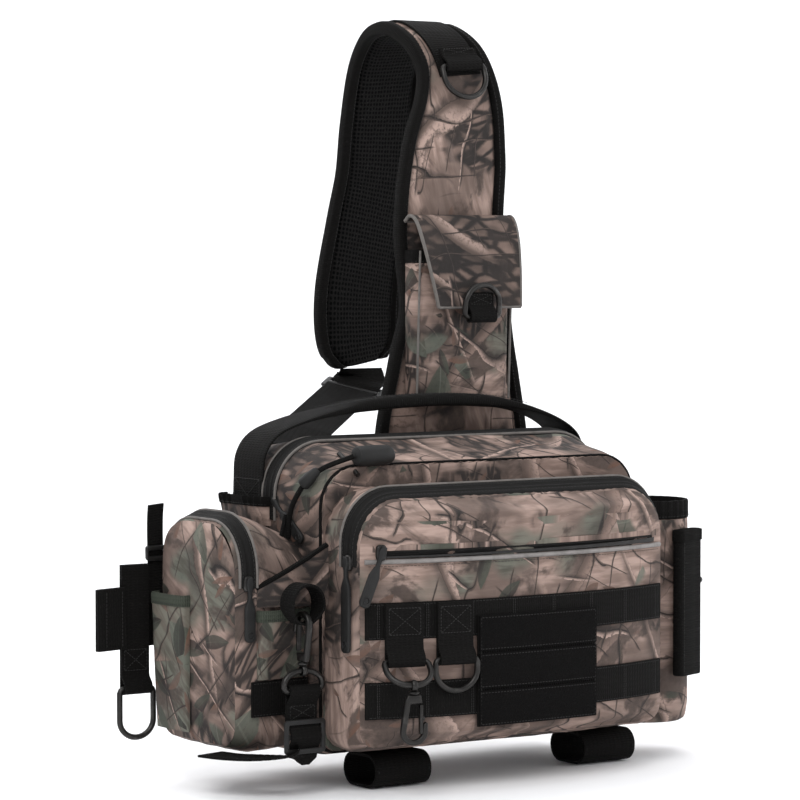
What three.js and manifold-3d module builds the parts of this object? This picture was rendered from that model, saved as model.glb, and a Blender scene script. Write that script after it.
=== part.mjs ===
// Fishing tackle sling bag, hanging by its padded shoulder strap
// Millimetres, +Z up, the wearer's back at +Y and the front pocket at -Y

import * as THREE from 'three';
import { mergeVertices } from 'three/addons/utils/BufferGeometryUtils.js';
import Module from 'manifold-3d';

const wasm = await Module();
wasm.setup();

// Clearances and stock thicknesses
const SEAM_GAP = 0.3; // between pieces that touch
const CLOTH = 2; // padded polyester wall
const WEBBING = 1.8; // one layer of woven webbing
const TAPE = 1.4; // zip tape
const ELASTIC_RIPPLE = 1.6; // height of the gathers in elastic mouths

// Main compartment
const BODY_WIDTH = 310;
const BODY_DEPTH = 129;
const BODY_HEIGHT = 237;
const BODY_BACK = 67; // y of the flat back panel
const BODY_ZIP_WIDTH = 20;
const BODY_ZIP_AT = 0.5; // share of the depth, from the back panel
const BODY_ZIP_SINK = 8; // how far the zip runs down behind the side pouch's top

// Front pocket
const POCKET_WIDTH = 300;
const POCKET_HEIGHT = 198;
const POCKET_DEPTH = 42;
const POCKET_RAISE = 6; // pocket bottom above the bag's bottom
const POCKET_BULGE = 22; // how far the stuffed face swells out
const POCKET_ZIP_WIDTH = 15;
const POCKET_ZIP_DROP = 58;

// Zipped slit across the front pocket
const SLIT_HEIGHT = 6;
const SLIT_LENGTH = 262;
const SLIT_LEVEL = 156; // z of the slit zip's middle
const REFLECTIVE_HEIGHT = 4;

// Webbing rows and the patch panel on the front pocket
const ROW_HEIGHT = 28;
const LOWER_ROW_LEVEL = 46; // z of the row's middle
const UPPER_ROW_LEVEL = 106;
const ROW_LENGTH = 284;
const PATCH_WIDTH = 114;
const PATCH_CENTRE = 4;
const PATCH_HEIGHT = 85;
const PATCH_LEVEL = 65;
const PATCH_STRIP = 27.5;
const PATCH_BACKING = 1.2;
const PATCH_FUZZ = 1.8;

// Side pouch on the wearer's right of the bag, at -X
const POUCH_WIDTH = 112;
const POUCH_HEIGHT = 179;
const POUCH_DEPTH = 65;
const POUCH_CENTRE = 4; // y of the pouch's middle
const POUCH_RAISE = 5;
const POUCH_BULGE = 6;
const POUCH_ZIP_WIDTH = 15;
const POUCH_ZIP_DROP = 54;
const POUCH_BAND_HEIGHT = 27;
const POUCH_BAND_LENGTH = 53;
const WING_INNER_HEIGHT = 46; // against the front pocket
const WING_OUTER_HEIGHT = 14;
const WING_CLEARANCE = 3; // over the front slip pocket
const SLIP_MOUTH = 9; // how far a slip pocket's mouth stands open
const SLIP_BASE = 3;
const SLIP_CLOTH = 1.6;
const SLIP_FRONT_WIDTH = 47;
const SLIP_FRONT_HEIGHT = 52;
const SLIP_FRONT_RAISE = 56; // over the pouch's bottom
const SLIP_SIDE_WIDTH = 46;
const SLIP_SIDE_HEIGHT = 104;
const SLIP_SIDE_RAISE = 12;
const SLIP_SIDE_SHIFT = 25; // from the pouch's middle to the mouth's middle
const SLIP_CORNER_GAP = 1.5; // from the bag's side to the front slip pocket

// Moulded pullers on the zip sliders
const PULLER_THICKNESS = 3.2;
const PULLER_NECK = 16; // from the slider to where the puller widens
const PULLER_WIDTH = 9;
const POUCH_PULLER_LENGTH = 44;
const SLIT_PULLER_LENGTH = 44;
const SLIT_PULLER_LEAN = -24; // degrees
const MAIN_PULLER_LENGTH = 46;
const MAIN_PULLER_LEAN = 54;
const MAIN_PULLER_LIFT = 14; // over the zip's end
const FRONT_PULLER_LENGTH = 68;
const FRONT_PULLER_WIDTH = 10;
const SLIDER_LIFT = 4; // slider's middle over its zip's end

// Bottle pocket and tool sheath at +X
const BOTTLE_RADIUS = 36;
const BOTTLE_HEIGHT = 181;
const BOTTLE_Y = -32;
const BOTTLE_BAND = 15;
const BOTTLE_SINK = 5; // how far the round pocket is sewn into the side
const SHEATH_WIDTH = 33;
const SHEATH_HEIGHT = 119;
const SHEATH_DEPTH = 10;
const SHEATH_LEVEL = 39; // z of the sheath's bottom
const STUD_RADIUS = 3.4;
const STUD_LENGTH = 5;
const STUD_LEVEL = 115;

// Carry handle
const HANDLE_WIDTH = 43;
const HANDLE_GRIP_WIDTH = 26;
const HANDLE_GRIP_THICKNESS = 10;
const HANDLE_RISE = 27; // top of the grip over the crest
const HANDLE_Y = 32;
const HANDLE_SIDE_RUN = 60; // how far the ends run down the sides

// Shoulder strap
const STRAP_BASE_WIDTH = 150;
const STRAP_RISE = 362; // from the sewn end up to the arch
const STRAP_REACH = 128; // from the front leg back to the rear leg
const STRAP_OUTER = 4.4; // printed face with half the foam
const STRAP_MESH = 5;
const BINDING_WIDTH = 9;
const BINDING_THICKNESS = 11.5;
const STRAP_FOOT = 206; // z of the sewn end
const STRAP_STEPS = 36;
const SHOULDER_SHARE = 0.53; // share of the strap's run where it lies on a shoulder
const STRAP_X = 68; // x of the strap's middle at the sewn end
const REAR_WEBBING_WIDTH = 42;
const REAR_WEBBING_INSET = 67; // from the bag's side to the middle of its sewn end
const REAR_WEBBING_SEWN = 54; // length of its sewn end

// Pocket on the strap
const PHONE_WIDTH = 98;
const PHONE_HEIGHT = 122;
const PHONE_DEPTH = 17;
const PHONE_LEVEL = 262; // z of its bottom
const FLAP_WIDTH = 100;
const FLAP_DROP = 70;

// Rings
const WIRE = 4.6; // diameter of the ring stock
const EYE_PLAY = 0.5; // air round the wire in a webbing eye
const TAB_WIDTH = 30.5;
const TAB_LENGTH = 44; // from the upper row's top edge to the eye
const RING_HALF_WIDTH = 17.8;
const RING_DROP = 24;
const LEFT_TAB_X = -115;
const RIGHT_TAB_X = -73.5;
const TOP_RING_HALF_WIDTH = 21;
const TOP_RING_DROP = 27;
const HANGER_WIDTH = 25;
const HANGER_RING_HALF_WIDTH = 15;
const HANGER_RING_DROP = 38;
const RING_TILT = 47; // degrees the hook pulls its ring off the panel

// Swivel snap hooks
const HOOK_LENGTH = 38;
const HOOK_WIDTH = 21.5;
const HOOK_THICKNESS = 4.6;
const HOOK_BAR = 4.2; // width of the hook's metal all round
const EYE_LENGTH = 4.2; // along the ring's wire
const COLLAR_RADIUS = 4.2;
const EYE_WALL = 1.7;
const COLLAR_HEIGHT = 2.6;
const PIN_RADIUS = 1.3;
const PIN_PLAY = 0.45;
const GATE_WIDTH = 2.6;

// Cord and toggle over the bag's corner
const CORD_RADIUS = 2.2;
const TOGGLE_RADIUS = 8;
const TOGGLE_LENGTH = 34;

// Belt loops under the bag
const BELT_LOOP_WIDTH = 52;
const BELT_LOOP_DEPTH = 45;
const BELT_LOOP_DROP = 26;
const BELT_LOOP_WALL = 2.4;
const LEFT_LOOP_INSET = 66; // from the bag's side to the loop's middle
const RIGHT_LOOP_INSET = 37;
const LEFT_LOOP_BACK = 2; // from the bag's front to the loop's middle
const RIGHT_LOOP_BACK = 10;

// Compression strap between pouch and front pocket
const CHAIN_REACH = 28; // past the side of the front pocket
const CHAIN_FORWARD = 14.7; // in front of the front pocket's back
const CHAIN_LEVEL = 54; // z of the ring's bar
const SIDE_WEBBING = 27;
const SIDE_RING_HALF_WIDTH = 17;
const SIDE_RING_DROP = 15;
const SIDE_TAB_LENGTH = 24;
const LOOP_HALF_WIDTH = 14;
const LOOP_HALF_HEIGHT = 15;
const LOOP_WEBBING = 18;
const GLIDE_BAR = 4;
const SLIDE_THICKNESS = 2.4;
const SLIDE_HEIGHT = 26;

// Straps at the rear of the side pouch
const WAIST_WIDTH = 48;
const WAIST_LEVEL = 104;
const WAIST_REACH = 118; // past the side of the body
const HANGER_REACH = 86;
const HANGER_RING_LEVEL = 46;
const HANGER_LENGTH = 96;
const KEEPER_WIDTH = 14;
const WAIST_SEWN = 59; // overlap on the bag's back

// Elastic pocket on the bag's side, behind the pouch
const ELASTIC_WIDTH = 66;
const ELASTIC_HEIGHT = 22;
const ELASTIC_TOP = 194;
const ELASTIC_MOUTH = 11;

// Tabs on the strap
const TOP_TAB_WIDTH = 42;
const TOP_TAB_START = 0.36; // shares of the strap's run
const TOP_TAB_END = 0.61;
const TOP_EYE_LENGTH = 16;
const PHONE_X = 66;
const PHONE_LIFT = 1.2;
const FLAP_STAND = 6; // air between the flap and the pocket's front
const FLAP_HINGE_RISE = 24;
const FLAP_TAB_WIDTH = 26;
const FLAP_TAB_LENGTH = 20;
const FLAP_TAB_DROP = 8;
const FLAP_TAB_SHIFT = 6;
const FLAP_RING_HALF_WIDTH = 17;
const FLAP_RING_DROP = 26;
const FLAP_RING_LEAN = 5; // degrees the upright ring leans off its tab
const SHEATH_TURN = 20; // degrees from facing forwards towards +X

const sideX = BODY_WIDTH / 2;
const bodyFront = BODY_BACK - BODY_DEPTH;
const pocketBack = bodyFront - SEAM_GAP;
const pouchBase = -sideX - SEAM_GAP;
const pouchTop = POUCH_RAISE + POUCH_HEIGHT;
const bodyZipEnd = pouchTop - BODY_ZIP_SINK;
const wireRadius = WIRE / 2;
const eyeRadius = wireRadius + EYE_PLAY;

const vec = (x, y, z) => new THREE.Vector3(x, y, z);
const radians = THREE.MathUtils.degToRad;

// Triangles are collected loose and welded once a shape is closed
class Skin {
  constructor() {
    this.xyz = [];
  }

  triangle(a, b, c) {
    for (const p of [a, b, c]) this.xyz.push(p.x, p.y, p.z);
  }

  quad(a, b, c, d) {
    this.triangle(a, b, c);
    this.triangle(a, c, d);
  }

  // Strips between two rings of the same count
  band(ringA, ringB, closed = true) {
    const count = ringA.length;
    const last = closed ? count : count - 1;
    for (let i = 0; i < last; i += 1) {
      const next = (i + 1) % count;
      this.quad(ringA[i], ringA[next], ringB[next], ringB[i]);
    }
  }

  // Flat ends of a run of rings; flatAt gives a ring's outline in its own plane
  endCaps(rings, flatAt) {
    for (const index of [0, rings.length - 1]) {
      const ring = rings[index];
      const flat = flatAt(index);
      const turn = THREE.ShapeUtils.area(flat);
      for (const face of THREE.ShapeUtils.triangulateShape(flat, [])) {
        const faceTurn = THREE.ShapeUtils.area(face.map((corner) => flat[corner]));
        const sameWay = turn * faceTurn > 0;
        const order = sameWay === (index !== 0) ? face : [face[2], face[1], face[0]];
        this.triangle(ring[order[0]], ring[order[1]], ring[order[2]]);
      }
    }
  }

  geometry() {
    let volume = 0;
    const xyz = this.xyz;
    for (let i = 0; i < xyz.length; i += 9) {
      const a = vec(xyz[i], xyz[i + 1], xyz[i + 2]);
      const b = vec(xyz[i + 3], xyz[i + 4], xyz[i + 5]);
      const c = vec(xyz[i + 6], xyz[i + 7], xyz[i + 8]);
      volume += a.dot(b.cross(c));
    }
    if (volume < 0) {
      for (let i = 0; i < xyz.length; i += 9) {
        for (let k = 0; k < 3; k += 1) {
          [xyz[i + 3 + k], xyz[i + 6 + k]] = [xyz[i + 6 + k], xyz[i + 3 + k]];
        }
      }
    }
    const geometry = new THREE.BufferGeometry();
    geometry.setAttribute('position', new THREE.Float32BufferAttribute(xyz, 3));
    return mergeVertices(geometry, 1e-4);
  }
}

// Booleans
function toManifold(geometry) {
  const bare = geometry.clone();
  bare.deleteAttribute('normal');
  bare.deleteAttribute('uv');
  const welded = mergeVertices(bare, 1e-4);
  return new wasm.Manifold(new wasm.Mesh({
    numProp: 3,
    vertProperties: new Float32Array(welded.attributes.position.array),
    triVerts: new Uint32Array(welded.index.array),
  }));
}

function fromManifold(solid) {
  const mesh = solid.getMesh();
  const geometry = new THREE.BufferGeometry();
  geometry.setAttribute('position', new THREE.BufferAttribute(new Float32Array(mesh.vertProperties), 3));
  geometry.setIndex(new THREE.BufferAttribute(new Uint32Array(mesh.triVerts), 1));
  return geometry;
}

function cut(geometry, ...tools) {
  return fromManifold(tools.reduce((solid, tool) => solid.subtract(toManifold(tool)), toManifold(geometry)));
}

function join(geometry, ...others) {
  return fromManifold(others.reduce((solid, other) => solid.add(toManifold(other)), toManifold(geometry)));
}

function common(geometry, tool) {
  return fromManifold(toManifold(geometry).intersect(toManifold(tool)));
}

function boxBetween(low, high) {
  const size = high.clone().sub(low);
  const centre = low.clone().add(high).multiplyScalar(0.5);
  return new THREE.BoxGeometry(size.x, size.y, size.z).translate(centre.x, centre.y, centre.z);
}

// Soft boxes: rings of a rounded outline closed by two ruled caps
// ACROSS places the columns, crowded where the corners turn
const ACROSS = [-1, -0.985, -0.94, -0.87, -0.77, -0.5, -0.25, 0, 0.25, 0.5, 0.77, 0.87, 0.94, 0.985, 1];
// Rows up a cap, with the share of the bulge that each has
const STUFFED_ROWS = [
  { up: 0, bulge: 0 }, { up: 0.025, bulge: 0.7 }, { up: 0.055, bulge: 1 }, { up: 0.5, bulge: 1 },
  { up: 0.945, bulge: 1 }, { up: 0.975, bulge: 0.7 }, { up: 1, bulge: 0 },
];
const FLAT_ROWS = [{ up: 0, bulge: 0 }, { up: 0.5, bulge: 0 }, { up: 1, bulge: 0 }];

function columnOf(section, share) {
  const across = section.side * share;
  const drop = (corner) => {
    const into = Math.abs(across) - (section.side - corner);
    return into > 0 ? corner - Math.sqrt(Math.max(corner * corner - into * into, 0)) : 0;
  };
  return {
    across,
    low: section.bottom + drop(section.bottomCorner),
    high: section.top - drop(section.topCorner),
  };
}

function gridOf(section, rows, bulge, place) {
  return ACROSS.map((share) => {
    const column = columnOf(section, share);
    return rows.map((row) => {
      const height = column.low + (column.high - column.low) * row.up;
      return place(column.across, height, section.depth + bulge(share) * row.bulge);
    });
  });
}

function rimOf(grid) {
  const lastColumn = grid.length - 1;
  const lastRow = grid[0].length - 1;
  const rim = grid.map((column) => column[lastRow]);
  for (let row = lastRow - 1; row > 0; row -= 1) rim.push(grid[lastColumn][row]);
  for (let column = lastColumn; column >= 0; column -= 1) rim.push(grid[column][0]);
  for (let row = 1; row < lastRow; row += 1) rim.push(grid[0][row]);
  return rim;
}

function softBox(sections, rows, faceBulgeAt, place) {
  const skin = new Skin();
  const flat = () => 0;
  const grids = sections.map((section, index) => {
    const bulge = index === sections.length - 1 ? faceBulgeAt : flat;
    return gridOf(section, rows, bulge, place);
  });
  for (let i = 1; i < grids.length; i += 1) skin.band(rimOf(grids[i - 1]), rimOf(grids[i]));
  const [back, front] = [grids[0], grids[grids.length - 1]];
  for (let i = 1; i < ACROSS.length; i += 1) {
    for (let k = 1; k < rows.length; k += 1) {
      skin.quad(back[i - 1][k - 1], back[i][k - 1], back[i][k], back[i - 1][k]);
      skin.quad(front[i - 1][k], front[i][k], front[i][k - 1], front[i - 1][k - 1]);
    }
  }
  return skin.geometry();
}

// Table shares become lengths; inset shrinks every wall by the cloth
function sectionsOf(table, size, inset = 0) {
  return table.map((row) => ({
    depth: row.depth * size.depth,
    side: (row.side * size.width) / 2 - inset,
    top: row.top * size.height - inset,
    bottom: row.bottom * size.height + inset,
    topCorner: Math.max(row.topCorner * size.height - inset, 1),
    bottomCorner: Math.max(row.bottomCorner * size.height - inset, 1),
  }));
}

function hollowSections(table, size, openBack) {
  const inner = sectionsOf(table, size, CLOTH);
  inner[0].depth += openBack ? -CLOTH * 2 : CLOTH;
  inner[inner.length - 1].depth -= CLOTH;
  return inner;
}

// Swept straps: each station has a middle, a width and a thickness
function sweep(stations, section, closed = false) {
  const skin = new Skin();
  const rings = stations.map((at) => section(at).map(([side, out]) => (
    at.middle.clone().addScaledVector(at.across, side).addScaledVector(at.out, out)
  )));
  for (let i = 1; i < rings.length; i += 1) skin.band(rings[i - 1], rings[i]);
  if (closed) {
    skin.band(rings[rings.length - 1], rings[0]);
    return skin.geometry();
  }
  const flatAt = (index) => section(stations[index]).map(([side, out]) => new THREE.Vector2(side, out));
  skin.endCaps(rings, flatAt);
  return skin.geometry();
}

// Frames along a run of points, with the width kept near one direction or one for each point
function framesAlong(points, widthwards) {
  return points.map((middle, index) => {
    const before = points[Math.max(index - 1, 0)];
    const after = points[Math.min(index + 1, points.length - 1)];
    const along = after.clone().sub(before).normalize();
    const wanted = Array.isArray(widthwards) ? widthwards[index] : widthwards;
    const across = wanted.clone().addScaledVector(along, -wanted.dot(along)).normalize();
    const out = new THREE.Vector3().crossVectors(across, along).normalize();
    return { middle, across, out };
  });
}

function flatSection(halfWidth, low, high) {
  return [[-halfWidth, low], [halfWidth, low], [halfWidth, high], [-halfWidth, high]];
}

function roundedSection(halfWidth, halfThickness) {
  const corner = Math.min(halfThickness, halfWidth) * 0.7;
  return [
    [-halfWidth + corner, -halfThickness], [halfWidth - corner, -halfThickness],
    [halfWidth, -halfThickness + corner], [halfWidth, halfThickness - corner],
    [halfWidth - corner, halfThickness], [-halfWidth + corner, halfThickness],
    [-halfWidth, halfThickness - corner], [-halfWidth, -halfThickness + corner],
  ];
}

// A strap of even webbing along a list of points
function webbingAlong(points, widthwards, width, thickness = WEBBING) {
  const stations = framesAlong(points, widthwards);
  return sweep(stations, () => flatSection(width / 2, -thickness / 2, thickness / 2));
}

// A bent wire in the XZ plane
function wireLoop(points, radius, sides = 6) {
  const count = points.length;
  const stations = points.map((middle, index) => {
    const before = points[(index + count - 1) % count];
    const along = points[(index + 1) % count].clone().sub(before).normalize();
    const across = vec(0, 1, 0);
    const out = new THREE.Vector3().crossVectors(along, across).normalize();
    return { middle, across, out };
  });
  const section = Array.from({ length: sides }, (_, i) => {
    const turn = (i / sides) * Math.PI * 2;
    return [Math.cos(turn) * radius, Math.sin(turn) * radius];
  });
  return sweep(stations, () => section, true);
}

// A round cord through chosen points; radiusAt gives its radius at each share of the run
function cordAlong(points, radiusAt, widthwards, sides, steps) {
  const path = new THREE.CatmullRomCurve3(points, false, 'centripetal');
  const frames = framesAlong(path.getPoints(steps), widthwards);
  frames.forEach((frame, i) => { frame.radius = radiusAt(i / steps); });
  return sweep(frames, (at) => Array.from({ length: sides }, (_, i) => {
    const turn = (i / sides) * Math.PI * 2;
    return [Math.cos(turn) * at.radius, Math.sin(turn) * at.radius];
  }));
}

// A flat outline extruded and centred on its own plane
function plate(shape, thickness, curveSegments = 6) {
  const geometry = new THREE.ExtrudeGeometry(shape, { depth: thickness, bevelEnabled: false, curveSegments });
  return geometry.translate(0, 0, -thickness / 2);
}

function roundedRectangle(width, height, corner) {
  const x = width / 2;
  const y = height / 2;
  const shape = new THREE.Shape();
  shape.moveTo(-x + corner, -y);
  shape.lineTo(x - corner, -y);
  shape.absarc(x - corner, -y + corner, corner, -Math.PI / 2, 0);
  shape.lineTo(x, y - corner);
  shape.absarc(x - corner, y - corner, corner, 0, Math.PI / 2);
  shape.lineTo(-x + corner, y);
  shape.absarc(-x + corner, y - corner, corner, Math.PI / 2, Math.PI);
  shape.lineTo(-x, -y + corner);
  shape.absarc(-x + corner, -y + corner, corner, Math.PI, Math.PI * 1.5);
  return shape;
}

function roundHole(x, y, radius) {
  const hole = new THREE.Path();
  hole.absarc(x, y, radius, 0, Math.PI * 2);
  return hole;
}

// Materials
const FINISH = {
  camo: { color: 0x8f7a6c, roughness: 0.85, metalness: 0 },
  leaf: { color: 0x5c6a55, roughness: 0.85, metalness: 0 },
  webbing: { color: 0x1d1b19, roughness: 0.9, metalness: 0 },
  mesh: { color: 0x151413, roughness: 0.95, metalness: 0 },
  zip: { color: 0x232220, roughness: 0.8, metalness: 0 },
  reflective: { color: 0x9a938c, roughness: 0.5, metalness: 0 },
  plastic: { color: 0x2b2a28, roughness: 0.45, metalness: 0 },
  rubber: { color: 0x1c1c1b, roughness: 0.6, metalness: 0 },
  metal: { color: 0x3a3937, roughness: 0.35, metalness: 0.9 },
};

const bag = new THREE.Group();

function piece(name, geometry, finish, parent = bag) {
  const mesh = new THREE.Mesh(geometry, new THREE.MeshStandardMaterial(FINISH[finish]));
  mesh.name = name;
  parent.add(mesh);
  return mesh;
}

// Main compartment, from the back panel to the front panel
const BODY_SECTIONS = [
  { depth: 0.0, side: 0.95, top: 0.95, bottom: 0.015, topCorner: 0.17, bottomCorner: 0.05 },
  { depth: 0.05, side: 0.985, top: 0.972, bottom: 0.0, topCorner: 0.17, bottomCorner: 0.05 },
  { depth: 0.3, side: 1.0, top: 0.99, bottom: 0.0, topCorner: 0.17, bottomCorner: 0.05 },
  { depth: 0.5, side: 1.0, top: 1.0, bottom: 0.0, topCorner: 0.17, bottomCorner: 0.05 },
  { depth: 0.72, side: 1.0, top: 0.965, bottom: 0.0, topCorner: 0.16, bottomCorner: 0.05 },
  { depth: 0.95, side: 0.985, top: 0.94, bottom: 0.0, topCorner: 0.14, bottomCorner: 0.05 },
  { depth: 1.0, side: 0.965, top: 0.925, bottom: 0.015, topCorner: 0.13, bottomCorner: 0.05 },
];
const bodySize = { width: BODY_WIDTH, depth: BODY_DEPTH, height: BODY_HEIGHT };
const placeBody = (across, up, depth) => vec(across, BODY_BACK - depth, up);
const flatPanel = () => 0;
const bodyOuter = softBox(sectionsOf(BODY_SECTIONS, bodySize), FLAT_ROWS, flatPanel, placeBody);
const bodyInner = softBox(hollowSections(BODY_SECTIONS, bodySize, false), FLAT_ROWS, flatPanel, placeBody);

function zipSlot(halfWidth, middleY, endLevel, topLevel, reach, gap) {
  return boxBetween(
    vec(-reach, middleY - halfWidth + gap, endLevel + gap),
    vec(reach, middleY + halfWidth - gap, topLevel),
  );
}

function makeBody() {
  const shell = cut(bodyOuter, bodyInner);
  const zipY = BODY_BACK - BODY_DEPTH * BODY_ZIP_AT;
  const slot = (gap) => zipSlot(BODY_ZIP_WIDTH / 2, zipY, bodyZipEnd, BODY_HEIGHT * 2, BODY_WIDTH, gap);
  piece('main_body', cut(shell, slot(0)), 'camo');
  piece('main_zip', common(shell, slot(SEAM_GAP)), 'zip');
}

// Front pocket, open at the back where it is sewn to the body
const POCKET_SECTIONS = [
  { depth: 0.0, side: 0.99, top: 1.0, bottom: 0.0, topCorner: 0.2, bottomCorner: 0.08 },
  { depth: 0.6, side: 1.0, top: 1.0, bottom: 0.0, topCorner: 0.2, bottomCorner: 0.08 },
  { depth: 1.0, side: 0.967, top: 0.955, bottom: 0.02, topCorner: 0.18, bottomCorner: 0.07 },
];
const pocketSize = { width: POCKET_WIDTH, depth: POCKET_DEPTH, height: POCKET_HEIGHT };
const placePocket = (across, up, depth) => vec(across, pocketBack - depth, POCKET_RAISE + up);
const pocketEdge = POCKET_SECTIONS[POCKET_SECTIONS.length - 1];
const faceHalfWidth = (pocketEdge.side * POCKET_WIDTH) / 2;
const faceBulge = (share) => POCKET_BULGE * (1 - Math.abs(share) ** 2.5);
const pocketOuter = softBox(sectionsOf(POCKET_SECTIONS, pocketSize), STUFFED_ROWS, faceBulge, placePocket);
const pocketInner = softBox(
  hollowSections(POCKET_SECTIONS, pocketSize, true), STUFFED_ROWS, faceBulge, placePocket,
);

// The face between its columns is straight, so plates that share them lie flush
function faceY(x) {
  const share = THREE.MathUtils.clamp(x / faceHalfWidth, -1, 1);
  let index = ACROSS.findIndex((column) => column >= share);
  index = Math.max(index, 1);
  const [left, right] = [ACROSS[index - 1], ACROSS[index]];
  const mix = (share - left) / (right - left);
  const bulge = faceBulge(left) * (1 - mix) + faceBulge(right) * mix;
  return pocketBack - POCKET_DEPTH - bulge;
}

// A sheet that follows the face; steps lists its profile as height and lift
function faceSheet(lowX, highX, profile) {
  const inside = ACROSS.map((share) => share * faceHalfWidth).filter((x) => x > lowX && x < highX);
  const stations = [lowX, ...inside, highX].map((x) => ({
    middle: vec(x, faceY(x), 0),
    across: vec(0, 0, 1),
    out: vec(0, -1, 0),
  }));
  return sweep(stations, () => profile);
}

function slabProfile(level, height, lift, thickness) {
  return [
    [level - height / 2, lift], [level + height / 2, lift],
    [level + height / 2, lift + thickness], [level - height / 2, lift + thickness],
  ];
}

const rowLift = SEAM_GAP;
const overRowLift = rowLift + WEBBING + SEAM_GAP;

function makePocket() {
  const shell = cut(pocketOuter, pocketInner);
  const seamY = pocketBack - POCKET_DEPTH * POCKET_SECTIONS[1].depth;
  const zipY = seamY - POCKET_ZIP_WIDTH / 2;
  const end = POCKET_RAISE + POCKET_HEIGHT - POCKET_ZIP_DROP;
  const slot = (gap) => zipSlot(POCKET_ZIP_WIDTH / 2, zipY, end, BODY_HEIGHT * 2, BODY_WIDTH, gap);
  piece('front_pocket', cut(shell, slot(0)), 'camo');
  piece('front_zip', common(shell, slot(SEAM_GAP)), 'zip');

  const slitBottom = SLIT_LEVEL - SLIT_HEIGHT / 2;
  const slitProfile = slabProfile(SLIT_LEVEL, SLIT_HEIGHT, SEAM_GAP, TAPE);
  piece('slit_zip', faceSheet(-SLIT_LENGTH / 2, SLIT_LENGTH / 2, slitProfile), 'zip');
  const trimLevel = slitBottom - SEAM_GAP - REFLECTIVE_HEIGHT / 2;
  const trimProfile = slabProfile(trimLevel, REFLECTIVE_HEIGHT, SEAM_GAP, CLOTH);
  piece('reflective_trim', faceSheet(-ROW_LENGTH / 2, ROW_LENGTH / 2, trimProfile), 'reflective');

  for (const [name, level] of [['lower', LOWER_ROW_LEVEL], ['upper', UPPER_ROW_LEVEL]]) {
    const row = faceSheet(-ROW_LENGTH / 2, ROW_LENGTH / 2, slabProfile(level, ROW_HEIGHT, rowLift, WEBBING));
    piece(`webbing_row_${name}`, row, 'webbing');
  }
  makePatchPanel();
}

// Three loop strips on one backing, sewn over the webbing rows
function makePatchPanel() {
  const bottom = PATCH_LEVEL - PATCH_HEIGHT / 2;
  const pitch = (PATCH_HEIGHT - PATCH_STRIP) / 2;
  const low = overRowLift + PATCH_BACKING;
  const high = low + PATCH_FUZZ;
  const stepped = [[bottom, overRowLift], [bottom + PATCH_HEIGHT, overRowLift]];
  for (const strip of [2, 1, 0]) {
    const base = bottom + strip * pitch;
    if (strip < 2) stepped.push([base + PATCH_STRIP, low]);
    stepped.push([base + PATCH_STRIP, high], [base, high]);
    if (strip > 0) stepped.push([base, low]);
  }
  const halfWidth = PATCH_WIDTH / 2;
  piece('patch_panel', faceSheet(PATCH_CENTRE - halfWidth, PATCH_CENTRE + halfWidth, stepped), 'webbing');
}

// D ring with its bar along X at the origin, hanging down
function dRing(halfWidth, drop, radius) {
  const corner = radius * 1.1;
  const arcTop = Math.max(drop - halfWidth * 0.9, corner * 2);
  const points = [vec(-halfWidth + corner, 0, 0), vec(halfWidth - corner, 0, 0), vec(halfWidth, 0, -corner)];
  const arcSteps = 12;
  for (let i = 0; i <= arcSteps; i += 1) {
    const turn = (i / arcSteps) * Math.PI;
    const x = Math.cos(turn) * halfWidth;
    points.push(vec(x, 0, -arcTop - Math.sin(turn) * (drop - arcTop)));
  }
  points.push(vec(-halfWidth, 0, -corner));
  return wireLoop(points, radius);
}

// Webbing tab folded round a ring's bar at the origin, its strip going up the back
function eyeTab(width, length, thickness = WEBBING) {
  const outer = eyeRadius + thickness;
  const strip = outer - thickness * 2;
  const profile = new THREE.Shape();
  profile.moveTo(outer, length);
  profile.lineTo(outer, 0);
  profile.absarc(0, 0, outer, 0, -Math.PI, true);
  profile.lineTo(strip, outer * 2.2);
  profile.lineTo(strip, length);
  profile.holes.push(roundHole(0, 0, eyeRadius));
  return plate(profile, width, 5).rotateX(Math.PI / 2).rotateZ(Math.PI / 2);
}

// Swivel eye round a ring's wire at the origin, its pin pointing down
const eyeOuter = eyeRadius + EYE_WALL;
const collarBottom = -eyeOuter + 0.5 - COLLAR_HEIGHT;

function swivelEye() {
  const disc = new THREE.Shape();
  disc.absarc(0, 0, eyeOuter, 0, Math.PI * 2);
  disc.holes.push(roundHole(0, 0, eyeRadius));
  const eye = plate(disc, EYE_LENGTH, 8).rotateY(Math.PI / 2);
  const collar = new THREE.CylinderGeometry(COLLAR_RADIUS, COLLAR_RADIUS * 0.8, COLLAR_HEIGHT, 10)
    .rotateX(Math.PI / 2).translate(0, 0, collarBottom + COLLAR_HEIGHT / 2);
  const pinLength = HOOK_BAR * 0.8;
  const pin = new THREE.CylinderGeometry(PIN_RADIUS, PIN_RADIUS, pinLength + 1, 8)
    .rotateX(Math.PI / 2).translate(0, 0, collarBottom - (pinLength - 1) / 2);
  return join(eye, collar, pin);
}

// Snap hook in the XZ plane; its top face is at the origin
const hookHalf = HOOK_WIDTH / 2;
const bowRadius = hookHalf - HOOK_BAR;
const bowLevel = -(HOOK_LENGTH - hookHalf);
const gateTop = -HOOK_BAR * 1.75;
const gateEnd = bowLevel * 0.86;
const gatePivot = new THREE.Vector2(bowRadius - GATE_WIDTH / 3, gateTop - GATE_WIDTH / 2);

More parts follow.
